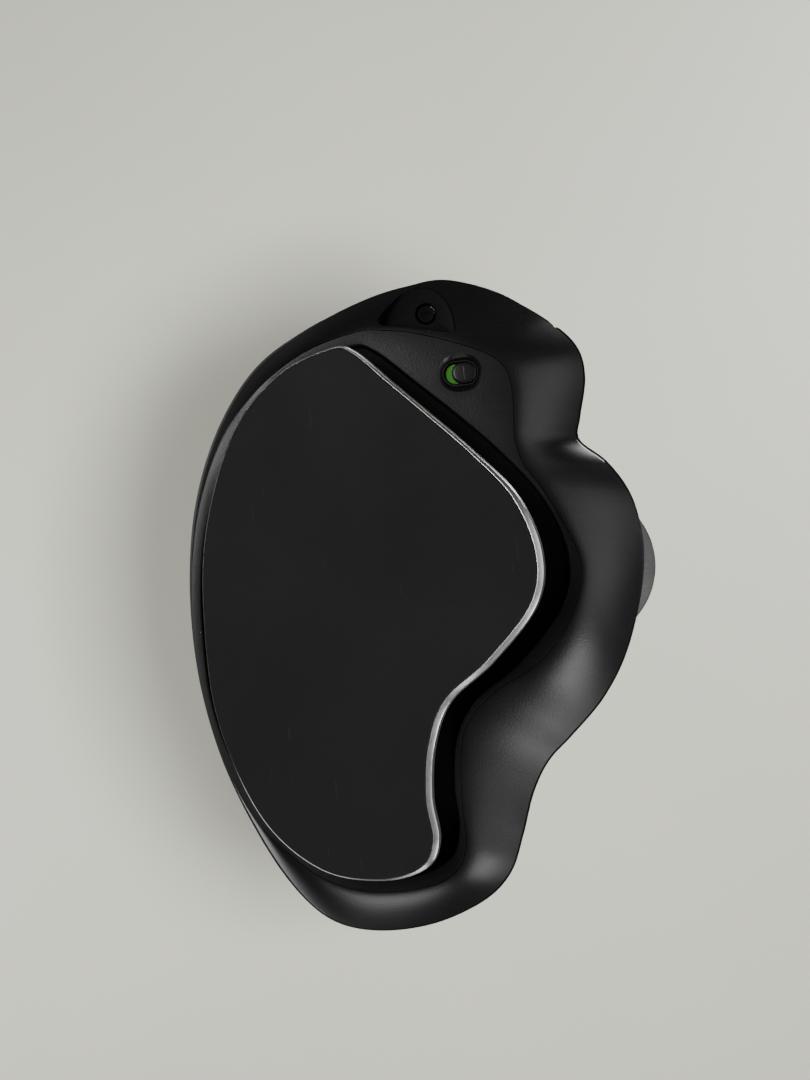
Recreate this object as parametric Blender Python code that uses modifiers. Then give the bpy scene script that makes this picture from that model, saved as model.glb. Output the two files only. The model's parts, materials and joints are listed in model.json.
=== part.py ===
"""Thumb-operated trackball mouse on a hinged, magnetically held steel tilt plate.

World frame: metres, +Z up, keys towards -Y, thumb and ball towards +X. The plate's rubber pad
rests on z = 0 with the mouse in its tilted posture. All body pieces are drawn in the body frame,
where the mouse is flat and z = 0 is the plane of the rubber pad, and hang on one empty that
leans them over the hinge. Sizes below are in millimetres.
"""

import bmesh
import bpy
from math import cos, pi, radians, sin
from mathutils import Matrix, Vector

MM = 0.001
GAP = 0.3

TILT_ANGLE = radians(20.0)
HINGE_X = -38.0
HINGE_Z = 5.0
HINGE_PIN_R = 0.9
TROUGH_TOP = 7.8

PLATE_BOTTOM = 0.3
PLATE_TOP = 2.8
PAD_THICKNESS = 1.0
RIM_WIDTH = 0.9

WALL = 2.0
POCKET_FLOOR = 4.2
FLOOR_THICKNESS = 1.8
PARTING_GAP = 0.6
PARTING_INSET = 0.6

BALL_R = 17.0
BALL = Vector((36.3, -3.5, 29.0))
BALL_HOLE_R = 17.5
CUP_INNER_R = 18.0
CUP_THICKNESS = 2.0
BALL_TO_CUP = Vector((-0.73, 0.0, -0.683)).normalized()

WHEEL = Vector((13.6, -42.5, 22.5))
WHEEL_R = 11.5
WHEEL_WIDTH = 7.0
CRADLE_PIVOT_Z = 13.5

BOARD_LOW = 9.6
BOARD_TOP = 10.8

SWITCH_SLOT = Vector((14.1, -45.8, 0.0))
SLIDER_TRAVEL = 1.6
SLIDER_SIZE = (4.9, 4.3)

BEAD_R = 1.0
KEY_TRAVEL = 0.5
KEY_FLOOR = 13.4
SWITCH_TOP = 18.2
KEY_POSTS = {"left_key": (27.3, -44.0), "right_key": (-1.0, -44.0)}
USB = Vector((13.6, 0.0, 10.0))
LIGHT = (13.6, -28.2)
FRONT_SCREW = (8.5, -59.1)
SCREWS = {"front_screw": (*FRONT_SCREW, 6.9), "pinky_screw": (-32.0, -27.0, 4.5),
          "rear_screw_left": (-24.0, 42.0, 4.5), "rear_screw_right": (-3.0, 45.5, 4.5),
          "thumb_screw": (24.6, -12.0, 4.5)}
MAGNETS = {"holding_magnet_flat": (10.0, 6.0), "holding_magnet_tilted": (-24.0, 0.0)}

# One row per station round the body, clockwise from the front as seen from below.
# Belt x, y, z: the widest line. Foot x, y: the edge of the underside. Fullness and softness
# shape the roof between the belt and the crown.
STATIONS = [
    (13.5, -66.5, 13.0, 5.0, -54.9, 5.0, 0.50),
    (24.0, -62.8, 13.0, 13.0, -52.2, 5.0, 0.50),
    (33.0, -57.0, 13.5, 19.5, -49.3, 4.6, 0.54),
    (39.4, -50.5, 14.0, 23.2, -45.8, 4.2, 0.58),
    (40.8, -43.5, 14.0, 24.1, -41.0, 3.9, 0.62),
    (38.8, -34.8, 14.0, 23.8, -35.0, 3.6, 0.66),
    (38.2, -30.4, 14.0, 23.7, -31.0, 3.2, 0.72),
    (43.5, -25.2, 14.0, 24.9, -26.0, 2.8, 0.80),
    (47.6, -18.3, 14.0, 28.0, -21.0, 2.5, 0.88),
    (49.2, -10.5, 14.0, 31.3, -14.0, 2.3, 0.92),
    (49.0, -2.8, 14.0, 34.2, -6.0, 2.3, 0.92),
    (46.8, 6.4, 14.0, 33.6, 0.5, 2.3, 0.90),
    (42.8, 16.4, 13.5, 29.5, 8.5, 2.4, 0.86),
    (37.2, 24.6, 13.0, 22.5, 15.2, 2.5, 0.82),
    (30.0, 31.4, 12.5, 14.5, 19.3, 2.6, 0.78),
    (24.7, 36.0, 12.0, 8.2, 24.8, 2.7, 0.74),
    (20.8, 42.0, 11.0, 5.9, 32.0, 2.8, 0.70),
    (17.6, 50.5, 10.0, 5.2, 42.0, 2.9, 0.66),
    (14.2, 58.0, 9.5, 5.0, 50.5, 3.0, 0.62),
    (8.0, 63.2, 9.0, 1.5, 55.8, 3.0, 0.60),
    (-3.0, 66.9, 9.0, -6.0, 57.7, 3.0, 0.60),
    (-15.0, 67.1, 9.0, -16.0, 57.0, 3.0, 0.60),
    (-24.5, 63.6, 9.0, -24.0, 53.8, 3.0, 0.60),
    (-32.0, 55.0, 9.0, -31.0, 47.8, 3.0, 0.60),
    (-38.6, 42.0, 9.5, -37.9, 38.9, 3.0, 0.60),
    (-43.8, 27.0, 10.0, -42.9, 25.2, 3.0, 0.60),
    (-46.6, 10.0, 10.5, -45.5, 9.2, 3.0, 0.60),
    (-46.5, -8.0, 11.0, -45.3, -6.3, 3.1, 0.60),
    (-43.6, -25.0, 11.5, -42.2, -22.8, 3.3, 0.58),
    (-37.5, -40.0, 12.0, -35.9, -37.2, 3.7, 0.56),
    (-28.5, -52.0, 12.5, -27.2, -46.8, 4.2, 0.54),
    (-17.0, -59.2, 13.0, -17.0, -53.2, 4.7, 0.52),
    (-4.0, -64.1, 13.0, -6.0, -56.2, 5.0, 0.50),
    (5.0, -66.0, 13.0, -0.5, -55.9, 5.0, 0.50),
]
SAMPLES = 2 * len(STATIONS)
POLE = (-2.0, 4.0)

# Height of the crown line at each y, front to rear.
CROWN = [
    (-85.0, 15.0), (-70.0, 21.0), (-55.0, 27.5), (-40.0, 34.5), (-20.0, 43.5), (0.0, 50.0),
    (14.0, 51.4), (30.0, 48.5), (46.0, 41.0), (60.0, 32.0), (75.0, 22.0), (90.0, 12.0),
]

# Plate outline x, y, and the width of the gap between it and the pocket wall.
PLATE_OUTLINE = [
    (-8.2, -52.4, 0.9), (-3.4, -51.2, 0.9), (3.8, -44.2, 1.1), (11.3, -36.7, 1.3),
    (18.8, -29.0, 1.2), (26.9, -19.2, 0.75), (30.5, -8.0, 1.3), (28.3, 2.0, 1.9),
    (18.3, 12.3, 2.3), (9.0, 19.2, 1.8), (4.8, 27.5, 0.8), (3.2, 37.5, 0.8),
    (3.7, 46.0, 0.45), (0.3, 51.6, 1.3), (-9.2, 53.5, 1.5), (-22.0, 50.7, 1.2),
    (-33.5, 40.0, 1.2), (-40.9, 21.0, 1.5), (-42.1, 2.0, 1.6), (-39.6, -18.5, 1.5),
    (-31.3, -38.0, 1.2), (-20.0, -48.6, 1.0),
]

# The recess in the front of the underside, a straight rear wall closed by one long arc.
MOON = [
    (-1.9, -57.7), (0.6, -60.9), (3.5, -63.4), (6.1, -64.6), (8.7, -64.8), (11.1, -63.6),
    (12.8, -61.5), (13.8, -59.0), (14.1, -56.1), (13.8, -54.3), (6.0, -56.0),
]
MOON_FLOOR = 6.6


def smooth_loop(rows, count):
    """Closed Catmull-Rom curve through the rows, of any width, sampled count times."""
    total = len(rows)
    loop = []
    for step in range(count):
        place = step * total / count
        index = int(place)
        t = place - index
        before, start, end, after = (rows[(index + k) % total] for k in (-1, 0, 1, 2))
        loop.append(tuple(
            0.5 * (2 * b + (c - a) * t + (2 * a - 5 * b + 4 * c - d) * t * t
                   + (3 * b - a - 3 * c + d) * t * t * t)
            for a, b, c, d in zip(before, start, end, after)))
    return loop


def smooth_step(value):
    value = min(max(value, 0.0), 1.0)
    return value * value * (3 - 2 * value)


def crown_height(x, y):
    """Height of the roof over the middle of the body, before its shoulders fall away."""
    index = 1
    while index < len(CROWN) - 3 and y > CROWN[index + 1][0]:
        index += 1
    (y0, z0), (y1, z1), (y2, z2), (y3, z3) = CROWN[index - 1:index + 3]
    t = (y - y1) / (y2 - y1)
    rise_in = (z2 - z0) / (y2 - y0) * (y2 - y1)
    rise_out = (z3 - z1) / (y3 - y1) * (y2 - y1)
    middle = (z1 * (2 * t ** 3 - 3 * t ** 2 + 1) + rise_in * (t ** 3 - 2 * t ** 2 + t)
              + z2 * (3 * t ** 2 - 2 * t ** 3) + rise_out * (t ** 3 - t ** 2))
    to_pinky = max(6.0 - x, 0.0)
    to_thumb = max(x - 14.0, 0.0)
    return middle - 10.0 * (1 - 1 / (1 + (to_pinky / 38.0) ** 2)) - 0.006 * to_thumb ** 2


def foot_height(x):
    """The underside sits just off the desk and rises where the tilted body leans over it."""
    return 0.9 + 2.0 * smooth_step((-x - 24.0) / 15.0)


def offset_loop(loop, distance):
    """A flat closed loop moved outwards by distance; the loop runs with its inside on the left."""
    count = len(loop)
    moved = []
    for index in range(count):
        x0, y0 = loop[index - 1][:2]
        x1, y1 = loop[(index + 1) % count][:2]
        out = Vector((y1 - y0, x0 - x1)).normalized()
        moved.append((loop[index][0] + out.x * distance, loop[index][1] + out.y * distance))
    return moved


def roof_ring(around, part, inset):
    """One ring of the roof: part is 1 at the belt and 0 at the pole."""
    belt = offset_loop(around, -inset)
    ring = []
    for (x, y), (_, _, z, _, _, fullness, softness) in zip(belt, around):
        px = POLE[0] + (x - POLE[0]) * part
        py = POLE[1] + (y - POLE[1]) * part
        lift = max(1.0 - part ** fullness, 0.0) ** softness
        ring.append(Vector((px, py, z + (crown_height(px, py) - inset - z) * lift)))
    return ring


def under_ring(around, part, inset):
    """One ring of the underside: part is 0 at the foot and 1 at the belt."""
    belt = offset_loop(around, -PARTING_INSET - inset)
    foot = offset_loop([(row[3], row[4]) for row in around], -inset)
    ring = []
    for (bx, by), (fx, fy), row in zip(belt, foot, around):
        low = foot_height(row[3]) + inset
        high = row[2] - PARTING_GAP - edge_drop(row[1])
        z = low + (high - low) * part ** 1.5
        ring.append(Vector((fx + (bx - fx) * part, fy + (by - fy) * part, z)))
    return ring


def edge_drop(y):
    """Height of the upright edge above the flank: a thin lip, and a tall face at the front."""
    return 0.4 + 4.0 * smooth_step((-y - 56.0) / 8.0)


def parting_ring(around):
    """The upper edge of the bottom casing, straight above the end of the flank."""
    belt = offset_loop(around, -PARTING_INSET)
    return [Vector((x, y, row[2] - PARTING_GAP)) for (x, y), row in zip(belt, around)]


def pocket_loop(plate):
    """The pocket wall round the plate, at the gap that each plate point carries."""
    return [(x + (ox - x) * gap, y + (oy - y) * gap)
            for (x, y, gap), (ox, oy) in zip(plate, offset_loop(plate, 1.0))]


COLOURS = {
    "shell": ((0.012, 0.012, 0.013), 0.42, 0.0),
    "key": ((0.014, 0.014, 0.015), 0.38, 0.0),
    "casing": ((0.010, 0.010, 0.011), 0.45, 0.0),
    "button": ((0.05, 0.05, 0.053), 0.35, 0.0),
    "steel": ((0.62, 0.62, 0.61), 0.25, 1.0),
    "dark_steel": ((0.20, 0.20, 0.21), 0.35, 1.0),
    "pad": ((0.014, 0.014, 0.014), 0.75, 0.0),
    "tyre": ((0.02, 0.02, 0.02), 0.7, 0.0),
    "ball": ((0.20, 0.21, 0.22), 0.12, 0.0),
    "frame": ((0.06, 0.06, 0.065), 0.5, 0.0),
    "board": ((0.01, 0.08, 0.03), 0.5, 0.0),
    "switch": ((0.03, 0.03, 0.035), 0.45, 0.0),
    "green": ((0.10, 0.62, 0.05), 0.5, 0.0),
    "battery": ((0.45, 0.46, 0.48), 0.4, 0.0),
    "bead": ((0.75, 0.75, 0.72), 0.15, 0.0),
    "lens": ((0.55, 0.58, 0.6), 0.05, 0.0),
    "cable": ((0.35, 0.20, 0.05), 0.5, 0.0),
}


def clear_scene():
    for thing in list(bpy.data.objects):
        bpy.data.objects.remove(thing, do_unlink=True)


def make_materials():
    made = {}
    for name, (colour, roughness, metallic) in COLOURS.items():
        material = bpy.data.materials.new(name)
        material.use_nodes = True
        shader = material.node_tree.nodes["Principled BSDF"]
        shader.inputs["Base Color"].default_value = (*colour, 1.0)
        shader.inputs["Roughness"].default_value = roughness
        shader.inputs["Metallic"].default_value = metallic
        made[name] = material
    return made


def make_collection(name):
    collection = bpy.data.collections.new(name)
    bpy.context.scene.collection.children.link(collection)
    return collection


clear_scene()
MATERIALS = make_materials()
PARTS = make_collection("trackball_mouse")
CUTTERS = make_collection("cutters")


def make_body_frame():
    """The empty that leans the whole mouse over its hinge on the plate."""
    frame = bpy.data.objects.new("mouse_body", None)
    PARTS.objects.link(frame)
    lean = Matrix.Rotation(-TILT_ANGLE, 4, "Y")
    hinge = Vector((HINGE_X, 0.0, HINGE_Z)) * MM
    frame.rotation_euler = (0.0, -TILT_ANGLE, 0.0)
    frame.location = hinge - lean @ hinge
    return frame


BODY = make_body_frame()


def finish(mesh, name, material, parent, origin):
    """Turns a bmesh in millimetres into an object in metres with its origin at a chosen point."""
    bmesh.ops.recalc_face_normals(mesh, faces=mesh.faces)
    origin = Vector(origin)
    bmesh.ops.translate(mesh, vec=-origin, verts=mesh.verts)
    bmesh.ops.scale(mesh, vec=(MM, MM, MM), verts=mesh.verts)
    data = bpy.data.meshes.new(name)
    mesh.to_mesh(data)
    mesh.free()
    data.shade_smooth()
    data.set_sharp_from_angle(angle=radians(35))
    thing = bpy.data.objects.new(name, data)
    thing.location = origin * MM
    thing.parent = parent
    if material is None:
        CUTTERS.objects.link(thing)
        thing.hide_render = True
        thing.display_type = "WIRE"
    else:
        PARTS.objects.link(thing)
        data.materials.append(MATERIALS[material])
    return thing


def loft(name, rings, material=None, parent=BODY, origin=(0, 0, 0)):
    """A closed skin over rings of equal count; its first and last ring are fanned to a point."""
    mesh = bmesh.new()
    rows = [[mesh.verts.new(point) for point in ring] for ring in rings]
    for low, high in zip(rows, rows[1:]):
        for index in range(len(low)):
            after = (index + 1) % len(low)
            mesh.faces.new((low[index], low[after], high[after], high[index]))
    for row in (rows[0], rows[-1]):
        centre = mesh.verts.new(sum((vert.co for vert in row), Vector()) / len(row))
        for index in range(len(row)):
            mesh.faces.new((row[index], row[(index + 1) % len(row)], centre))
    return finish(mesh, name, material, parent, origin)


def prism(name, outline, low, high, material=None, parent=BODY, origin=(0, 0, 0), bevel=0.0):
    """A flat outline pulled up from low to high."""
    mesh = bmesh.new()
    face = mesh.faces.new([mesh.verts.new((point[0], point[1], low)) for point in outline])
    grown = bmesh.ops.extrude_face_region(mesh, geom=[face])
    top = [item for item in grown["geom"] if isinstance(item, bmesh.types.BMVert)]
    bmesh.ops.translate(mesh, vec=(0, 0, high - low), verts=top)
    thing = finish(mesh, name, material, parent, origin)
    if bevel:
        round_edges(thing, bevel)
    return thing


def box(name, centre, size, material=None, parent=BODY, origin=None, turn=None, bevel=0.0):
    mesh = bmesh.new()
    bmesh.ops.create_cube(mesh, size=1.0)
    bmesh.ops.scale(mesh, vec=size, verts=mesh.verts)
    if turn is not None:
        bmesh.ops.rotate(mesh, cent=(0, 0, 0), matrix=turn, verts=mesh.verts)
    bmesh.ops.translate(mesh, vec=centre, verts=mesh.verts)
    thing = finish(mesh, name, material, parent, centre if origin is None else origin)
    if bevel:
        round_edges(thing, bevel)
    return thing


def rod(name, centre, radius, length, axis, material=None, parent=BODY, origin=None,
        sides=24, bevel=0.0):
    mesh = bmesh.new()
    bmesh.ops.create_cone(mesh, cap_ends=True, segments=sides, radius1=radius, radius2=radius,
                          depth=length)
    turn = Vector((0, 0, 1)).rotation_difference(Vector(axis)).to_matrix()
    bmesh.ops.rotate(mesh, cent=(0, 0, 0), matrix=turn, verts=mesh.verts)
    bmesh.ops.translate(mesh, vec=centre, verts=mesh.verts)
    thing = finish(mesh, name, material, parent, centre if origin is None else origin)
    if bevel:
        round_edges(thing, bevel)
    return thing


def ball(name, centre, radius, material=None, parent=BODY, sides=16):
    mesh = bmesh.new()
    bmesh.ops.create_uvsphere(mesh, u_segments=2 * sides, v_segments=sides, radius=radius)
    bmesh.ops.translate(mesh, vec=centre, verts=mesh.verts)
    return finish(mesh, name, material, parent, centre)


def modify(thing, other, operation):
    step = thing.modifiers.new(f"{operation.lower()}_{other.name}", "BOOLEAN")
    step.operation = operation
    step.object = other
    return thing


def cut(thing, *others):
    for other in others:
        modify(thing, other, "DIFFERENCE")
    return thing


def keep(thing, other):
    return modify(thing, other, "INTERSECT")


def join(thing, *others):
    for other in others:
        modify(thing, other, "UNION")
    return thing


def round_edges(thing, width, segments=1):
    step = thing.modifiers.new("rounded", "BEVEL")
    step.width = width * MM
    step.segments = segments
    step.limit_method = "ANGLE"
    step.angle_limit = radians(40)
    return thing


def racetrack(centre, length, width, steps=8):
    """A slot outline along x with round ends."""
    radius = width / 2
    reach = length / 2 - radius
    outline = []
    for side in (1, -1):
        for step in range(steps + 1):
            angle = pi * step / steps - pi / 2
            outline.append((centre[0] + side * (reach + radius * cos(angle)),
                            centre[1] + side * radius * sin(angle)))
    return outline


# ---------------------------------------------------------------- plate and hinge

def build_plate():
    outline = smooth_loop(PLATE_OUTLINE, 66)
    plate = prism("base_plate", outline, PLATE_BOTTOM, PLATE_TOP, "steel", None, bevel=0.45)
    bed = prism("pad_bed", offset_loop(outline, GAP - RIM_WIDTH), -1.0,
                PAD_THICKNESS + GAP, parent=None)
    cut(plate, bed)
    prism("rubber_pad", offset_loop(outline, -RIM_WIDTH), 0.0, PAD_THICKNESS, "pad", None,
          bevel=0.25)


def hinge_block(name, y, width, radius, base, material, parent):
    """A block round the hinge pin: flat at its base height and round over the pin."""
    side = 1 if base < HINGE_Z else -1
    mesh = bmesh.new()
    outline = [(-radius, base), (radius, base)]
    outline += [(radius * cos(pi * k / 10), HINGE_Z + side * radius * sin(pi * k / 10))
                for k in range(11)]
    face = mesh.faces.new([mesh.verts.new((HINGE_X + x, y - width / 2, z)) for x, z in outline])
    grown = bmesh.ops.extrude_face_region(mesh, geom=[face])
    far = [item for item in grown["geom"] if isinstance(item, bmesh.types.BMVert)]
    bmesh.ops.translate(mesh, vec=(0, width, 0), verts=far)
    block = finish(mesh, name, material, parent, (HINGE_X, y, HINGE_Z))
    return cut(block, rod(f"{name}_hole", (HINGE_X, y, HINGE_Z), HINGE_PIN_R + GAP, 2 * width,
                          (0, 1, 0), parent=parent))


def build_hinge():
    rod("hinge_pin", (HINGE_X, 0, HINGE_Z), HINGE_PIN_R, 42, (0, 1, 0), "steel", None,
        sides=16, bevel=0.25)
    for name, y in (("front", -18.6), ("rear", 18.6)):
        hinge_block(f"plate_lug_{name}", y, 3.4, 2.3, PLATE_TOP + GAP, "dark_steel", None)
    for name, y in (("front", -13.2), ("rear", 13.2)):
        hinge_block(f"hinge_bearing_{name}", y, 5.0, 1.9, TROUGH_TOP - GAP, "frame", BODY)


# ---------------------------------------------------------------- shells

def build_bottom_shell(around):
    outer = [under_ring(around, part, 0.0) for part in (0.0, 0.12, 0.3, 0.52, 0.76, 1.0)]
    shell = loft("bottom_shell", outer + [parting_ring(around)], "casing")
    hollow_rings = [under_ring(around, part, WALL) for part in (0.0, 0.3, 0.65, 1.0)]
    top = [point + Vector((0, 0, 12)) for point in hollow_rings[-1]]
    hollow = loft("bottom_hollow", hollow_rings + [top])
    pocket_outline = pocket_loop(smooth_loop(PLATE_OUTLINE, 66))
    moon = counter(MOON)
    floor_top = POCKET_FLOOR + FLOOR_THICKNESS
    cut(hollow,
        prism("pocket_core", offset_loop(pocket_outline, WALL * 0.8), -2.0, floor_top),
        box("trough_core", (-38.6, 0, 4.5), (13.0, 46.4, 9.0)),
        prism("moon_core", offset_loop(moon, 1.8), -2.0, MOON_FLOOR + 1.6),
        rod("front_boss", (*FRONT_SCREW, 4.275), 3.6, 8.55, (0, 0, 1)))
    cut(shell,
        prism("pocket", pocket_outline, -5.0, POCKET_FLOOR),
        box("hinge_trough", (-39.2, 0, TROUGH_TOP - 4.0), (9.7, 43.6, 8.0)),
        hollow,
        prism("moon_recess", moon, -3.0, MOON_FLOOR),
        prism("switch_bevel", racetrack(SWITCH_SLOT, 8.8, 7.4), -1.0, 1.7),
        prism("switch_slot", racetrack(SWITCH_SLOT, SLIDER_SIZE[0] + SLIDER_TRAVEL + 2 * GAP,
                                       SLIDER_SIZE[1] + 2 * GAP), -2.0, 5.0),
        box("usb_opening", (USB.x, -66.0, USB.z), (8.6, 14.0, 3.2)))
    return shell


LEFT_KEY = [(13.6, -72.0), (35.6, -72.0), (35.6, -54.0), (33.2, -51.4), (32.6, -47.0),
            (30.8, -38.0), (26.0, -29.0), (20.4, -20.6), (18.6, -17.4), (18.6, -30.6),
            (18.6, -56.2), (13.6, -56.2)]
RIGHT_KEY = [(13.6, -72.0), (13.6, -56.2), (8.6, -56.2), (8.6, -30.6), (8.6, -16.8),
             (0.0, -17.2), (-10.0, -19.4), (-20.0, -25.0), (-17.0, -42.0), (-12.2, -60.0),
             (-12.2, -72.0)]
CONSOLE = [(8.6, -30.6), (18.6, -30.6), (18.6, -17.4), (13.6, -16.6), (8.6, -16.8)]
FORWARD = [(33.2, -51.4), (38.0, -51.0), (37.4, -40.6), (31.4, -40.6)]
BACK = [(31.8, -40.6), (37.4, -40.6), (36.0, -33.4), (33.4, -29.8), (27.4, -29.8)]
KEY_ZONE = [(35.6, -72.0), (35.6, -54.0), (33.2, -51.4), (38.0, -51.0), (37.4, -40.6),
            (36.0, -33.4), (33.4, -29.8), (26.4, -29.8), (20.4, -20.6), (18.6, -17.4),
            (13.6, -16.6), (8.6, -16.8), (0.0, -17.2), (-10.0, -19.4), (-20.0, -25.0),
            (-17.0, -42.0), (-12.2, -60.0), (-12.2, -72.0)]
MODE_CENTRE = (13.6, -23.0)
PRECISION_CENTRE = (26.5, -22.0)


def counter(outline):
    """The outline in the direction that offset_loop expects."""
    area = sum(x0 * y1 - x1 * y0 for (x0, y0), (x1, y1)
               in zip(outline, outline[1:] + outline[:1]))
    return outline if area > 0 else outline[::-1]


def grown_polygon(outline, distance):
    """A polygon with every side moved outwards by distance, corners kept sharp."""
    outline = [Vector(point) for point in counter(outline)]
    grown = []
    for index, point in enumerate(outline):
        before = (point - outline[index - 1]).normalized()
        after = (outline[(index + 1) % len(outline)] - point).normalized()
        out_before = Vector((before.y, -before.x))
        out_after = Vector((after.y, -after.x))
        mid = (out_before + out_after).normalized()
        grown.append(tuple(point + mid * (distance / max(mid.dot(out_after), 0.4))))
    return grown


def circle(centre, radius, sides=20):
    return [(centre[0] + radius * cos(2 * pi * k / sides),
             centre[1] + radius * sin(2 * pi * k / sides)) for k in range(sides)]


def roof(name, around, material):
    """A full roof shell, cut down to one piece by the caller."""
    parts = (0.03, 0.2, 0.38, 0.54, 0.68, 0.8, 0.89, 0.95, 0.985, 1.0)
    outer = [roof_ring(around, part, 0.0) for part in parts]
    inner = [roof_ring(around, part, WALL) for part in reversed(parts)]
    return loft(name, outer + inner, material)


def roof_height(around, x, y):
    """Height of the roof's outer face at a point, along the ray from the pole to the belt."""
    ray = Vector((x - POLE[0], y - POLE[1]))
    for index, row in enumerate(around):
        before = around[index - 1]
        a = Vector((before[0] - POLE[0], before[1] - POLE[1]))
        b = Vector((row[0] - POLE[0], row[1] - POLE[1]))
        if a.cross(ray) >= 0 > b.cross(ray) and a.dot(ray) > 0:
            side = a.cross(ray) / (a.cross(ray) - b.cross(ray))
            edge = a.lerp(b, side)
            z, fullness, softness = (before[k] + (row[k] - before[k]) * side for k in (2, 5, 6))
            lift = (1.0 - (ray.length / edge.length) ** fullness) ** softness
            return z + (crown_height(x, y) - z) * lift
    raise ValueError("the point lies outside the belt")


def build_roof(around):
    seam = 0.25
    low, high = -10.0, 70.0
    mode_hole = circle(MODE_CENTRE, 3.4)
    precision_hole = circle(PRECISION_CENTRE, 2.7)
    regions = {"left_key": LEFT_KEY, "right_key": RIGHT_KEY, "wheel_console": CONSOLE,
               "forward_button": FORWARD, "back_button": BACK,
               "mode_button": mode_hole, "precision_button": precision_hole}
    materials = {"left_key": "key", "right_key": "key", "wheel_console": "frame"}
    pieces = {}
    for name, outline in regions.items():
        floor = KEY_FLOOR if name.endswith("key") else low
        piece = roof(name, around, materials.get(name, "button"))
        keep(piece, prism(f"{name}_region", grown_polygon(outline, -seam), floor, high))
        pieces[name] = piece
    for name, (x, y) in KEY_POSTS.items():
        top = roof_height(around, x, y) - 1.0
        foot = SWITCH_TOP + KEY_TRAVEL
        join(pieces[name], rod(f"{name}_post", (x, y, (top + foot) / 2), 1.5, top - foot,
                               (0, 0, 1), sides=12))
    cover = roof("top_cover", around, "shell")
    cut(cover, prism("key_zone", grown_polygon(KEY_ZONE, seam), low, high),
        prism("precision_opening", grown_polygon(precision_hole, seam), low, high),
        ball("ball_opening", BALL, BALL_HOLE_R, sides=20))
    cut(pieces["wheel_console"],
        prism("mode_opening", grown_polygon(mode_hole, seam), low, high),
        rod("light_opening", (*LIGHT, 40.0), 1.0, 30.0, (0, 0, 1), sides=12))
    pieces["top_cover"] = cover
    return pieces


# ---------------------------------------------------------------- ball seat and sensor

def turned(name, profile, centre, axis, material=None, parent=BODY, sides=32, origin=None):
    """A closed profile of (radius, height) points turned about an axis through centre."""
    turn = Vector((0, 0, 1)).rotation_difference(Vector(axis)).to_matrix()
    mesh = bmesh.new()
    rows = []
    for k in range(sides):
        angle = 2 * pi * k / sides
        rows.append([mesh.verts.new(turn @ Vector((r * cos(angle), r * sin(angle), h))
                                    + Vector(centre)) for r, h in profile])
    for k in range(sides):
        here, after = rows[k], rows[(k + 1) % sides]
        for j in range(len(profile)):
            following = (j + 1) % len(profile)
            mesh.faces.new((here[j], after[j], after[following], here[following]))
    return finish(mesh, name, material, parent, centre if origin is None else origin)


def build_ball_seat():
    ball("trackball", BALL, BALL_R, "ball")
    outer_r = CUP_INNER_R + CUP_THICKNESS
    angles = [radians(8 + 10 * k) for k in range(6)]
    profile = [(CUP_INNER_R * sin(a), CUP_INNER_R * cos(a)) for a in angles]
    profile += [(outer_r * sin(a), outer_r * cos(a)) for a in reversed(angles)]
    cup = turned("ball_cup", profile, BALL, BALL_TO_CUP, "frame")
    across = BALL_TO_CUP.orthogonal().normalized()
    bead_angle = radians(38)
    for number in range(3):
        spin = Matrix.Rotation(2 * pi * number / 3 + 0.5, 3, BALL_TO_CUP)
        direction = BALL_TO_CUP * cos(bead_angle) + spin @ across * sin(bead_angle)
        centre = BALL + direction * (BALL_R + GAP + BEAD_R)
        ball(f"bearing_bead_{number + 1}", centre, BEAD_R, "bead", sides=7)
        cut(cup, ball(f"bead_pocket_{number + 1}", centre, BEAD_R + GAP, sides=8))
    turn = Vector((0, 0, 1)).rotation_difference(BALL_TO_CUP).to_matrix()
    rod("sensor_lens", BALL + BALL_TO_CUP * 19.5, 2.0, 2.2, BALL_TO_CUP, "lens", sides=16)
    box("optical_sensor", BALL + BALL_TO_CUP * 22.4, (8.0, 9.0, 3.0), "switch", turn=turn,
        bevel=0.4)
    box("sensor_board", BALL + BALL_TO_CUP * 24.8, (12.0, 12.0, 1.0), "board", turn=turn)


# ---------------------------------------------------------------- wheel

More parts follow.
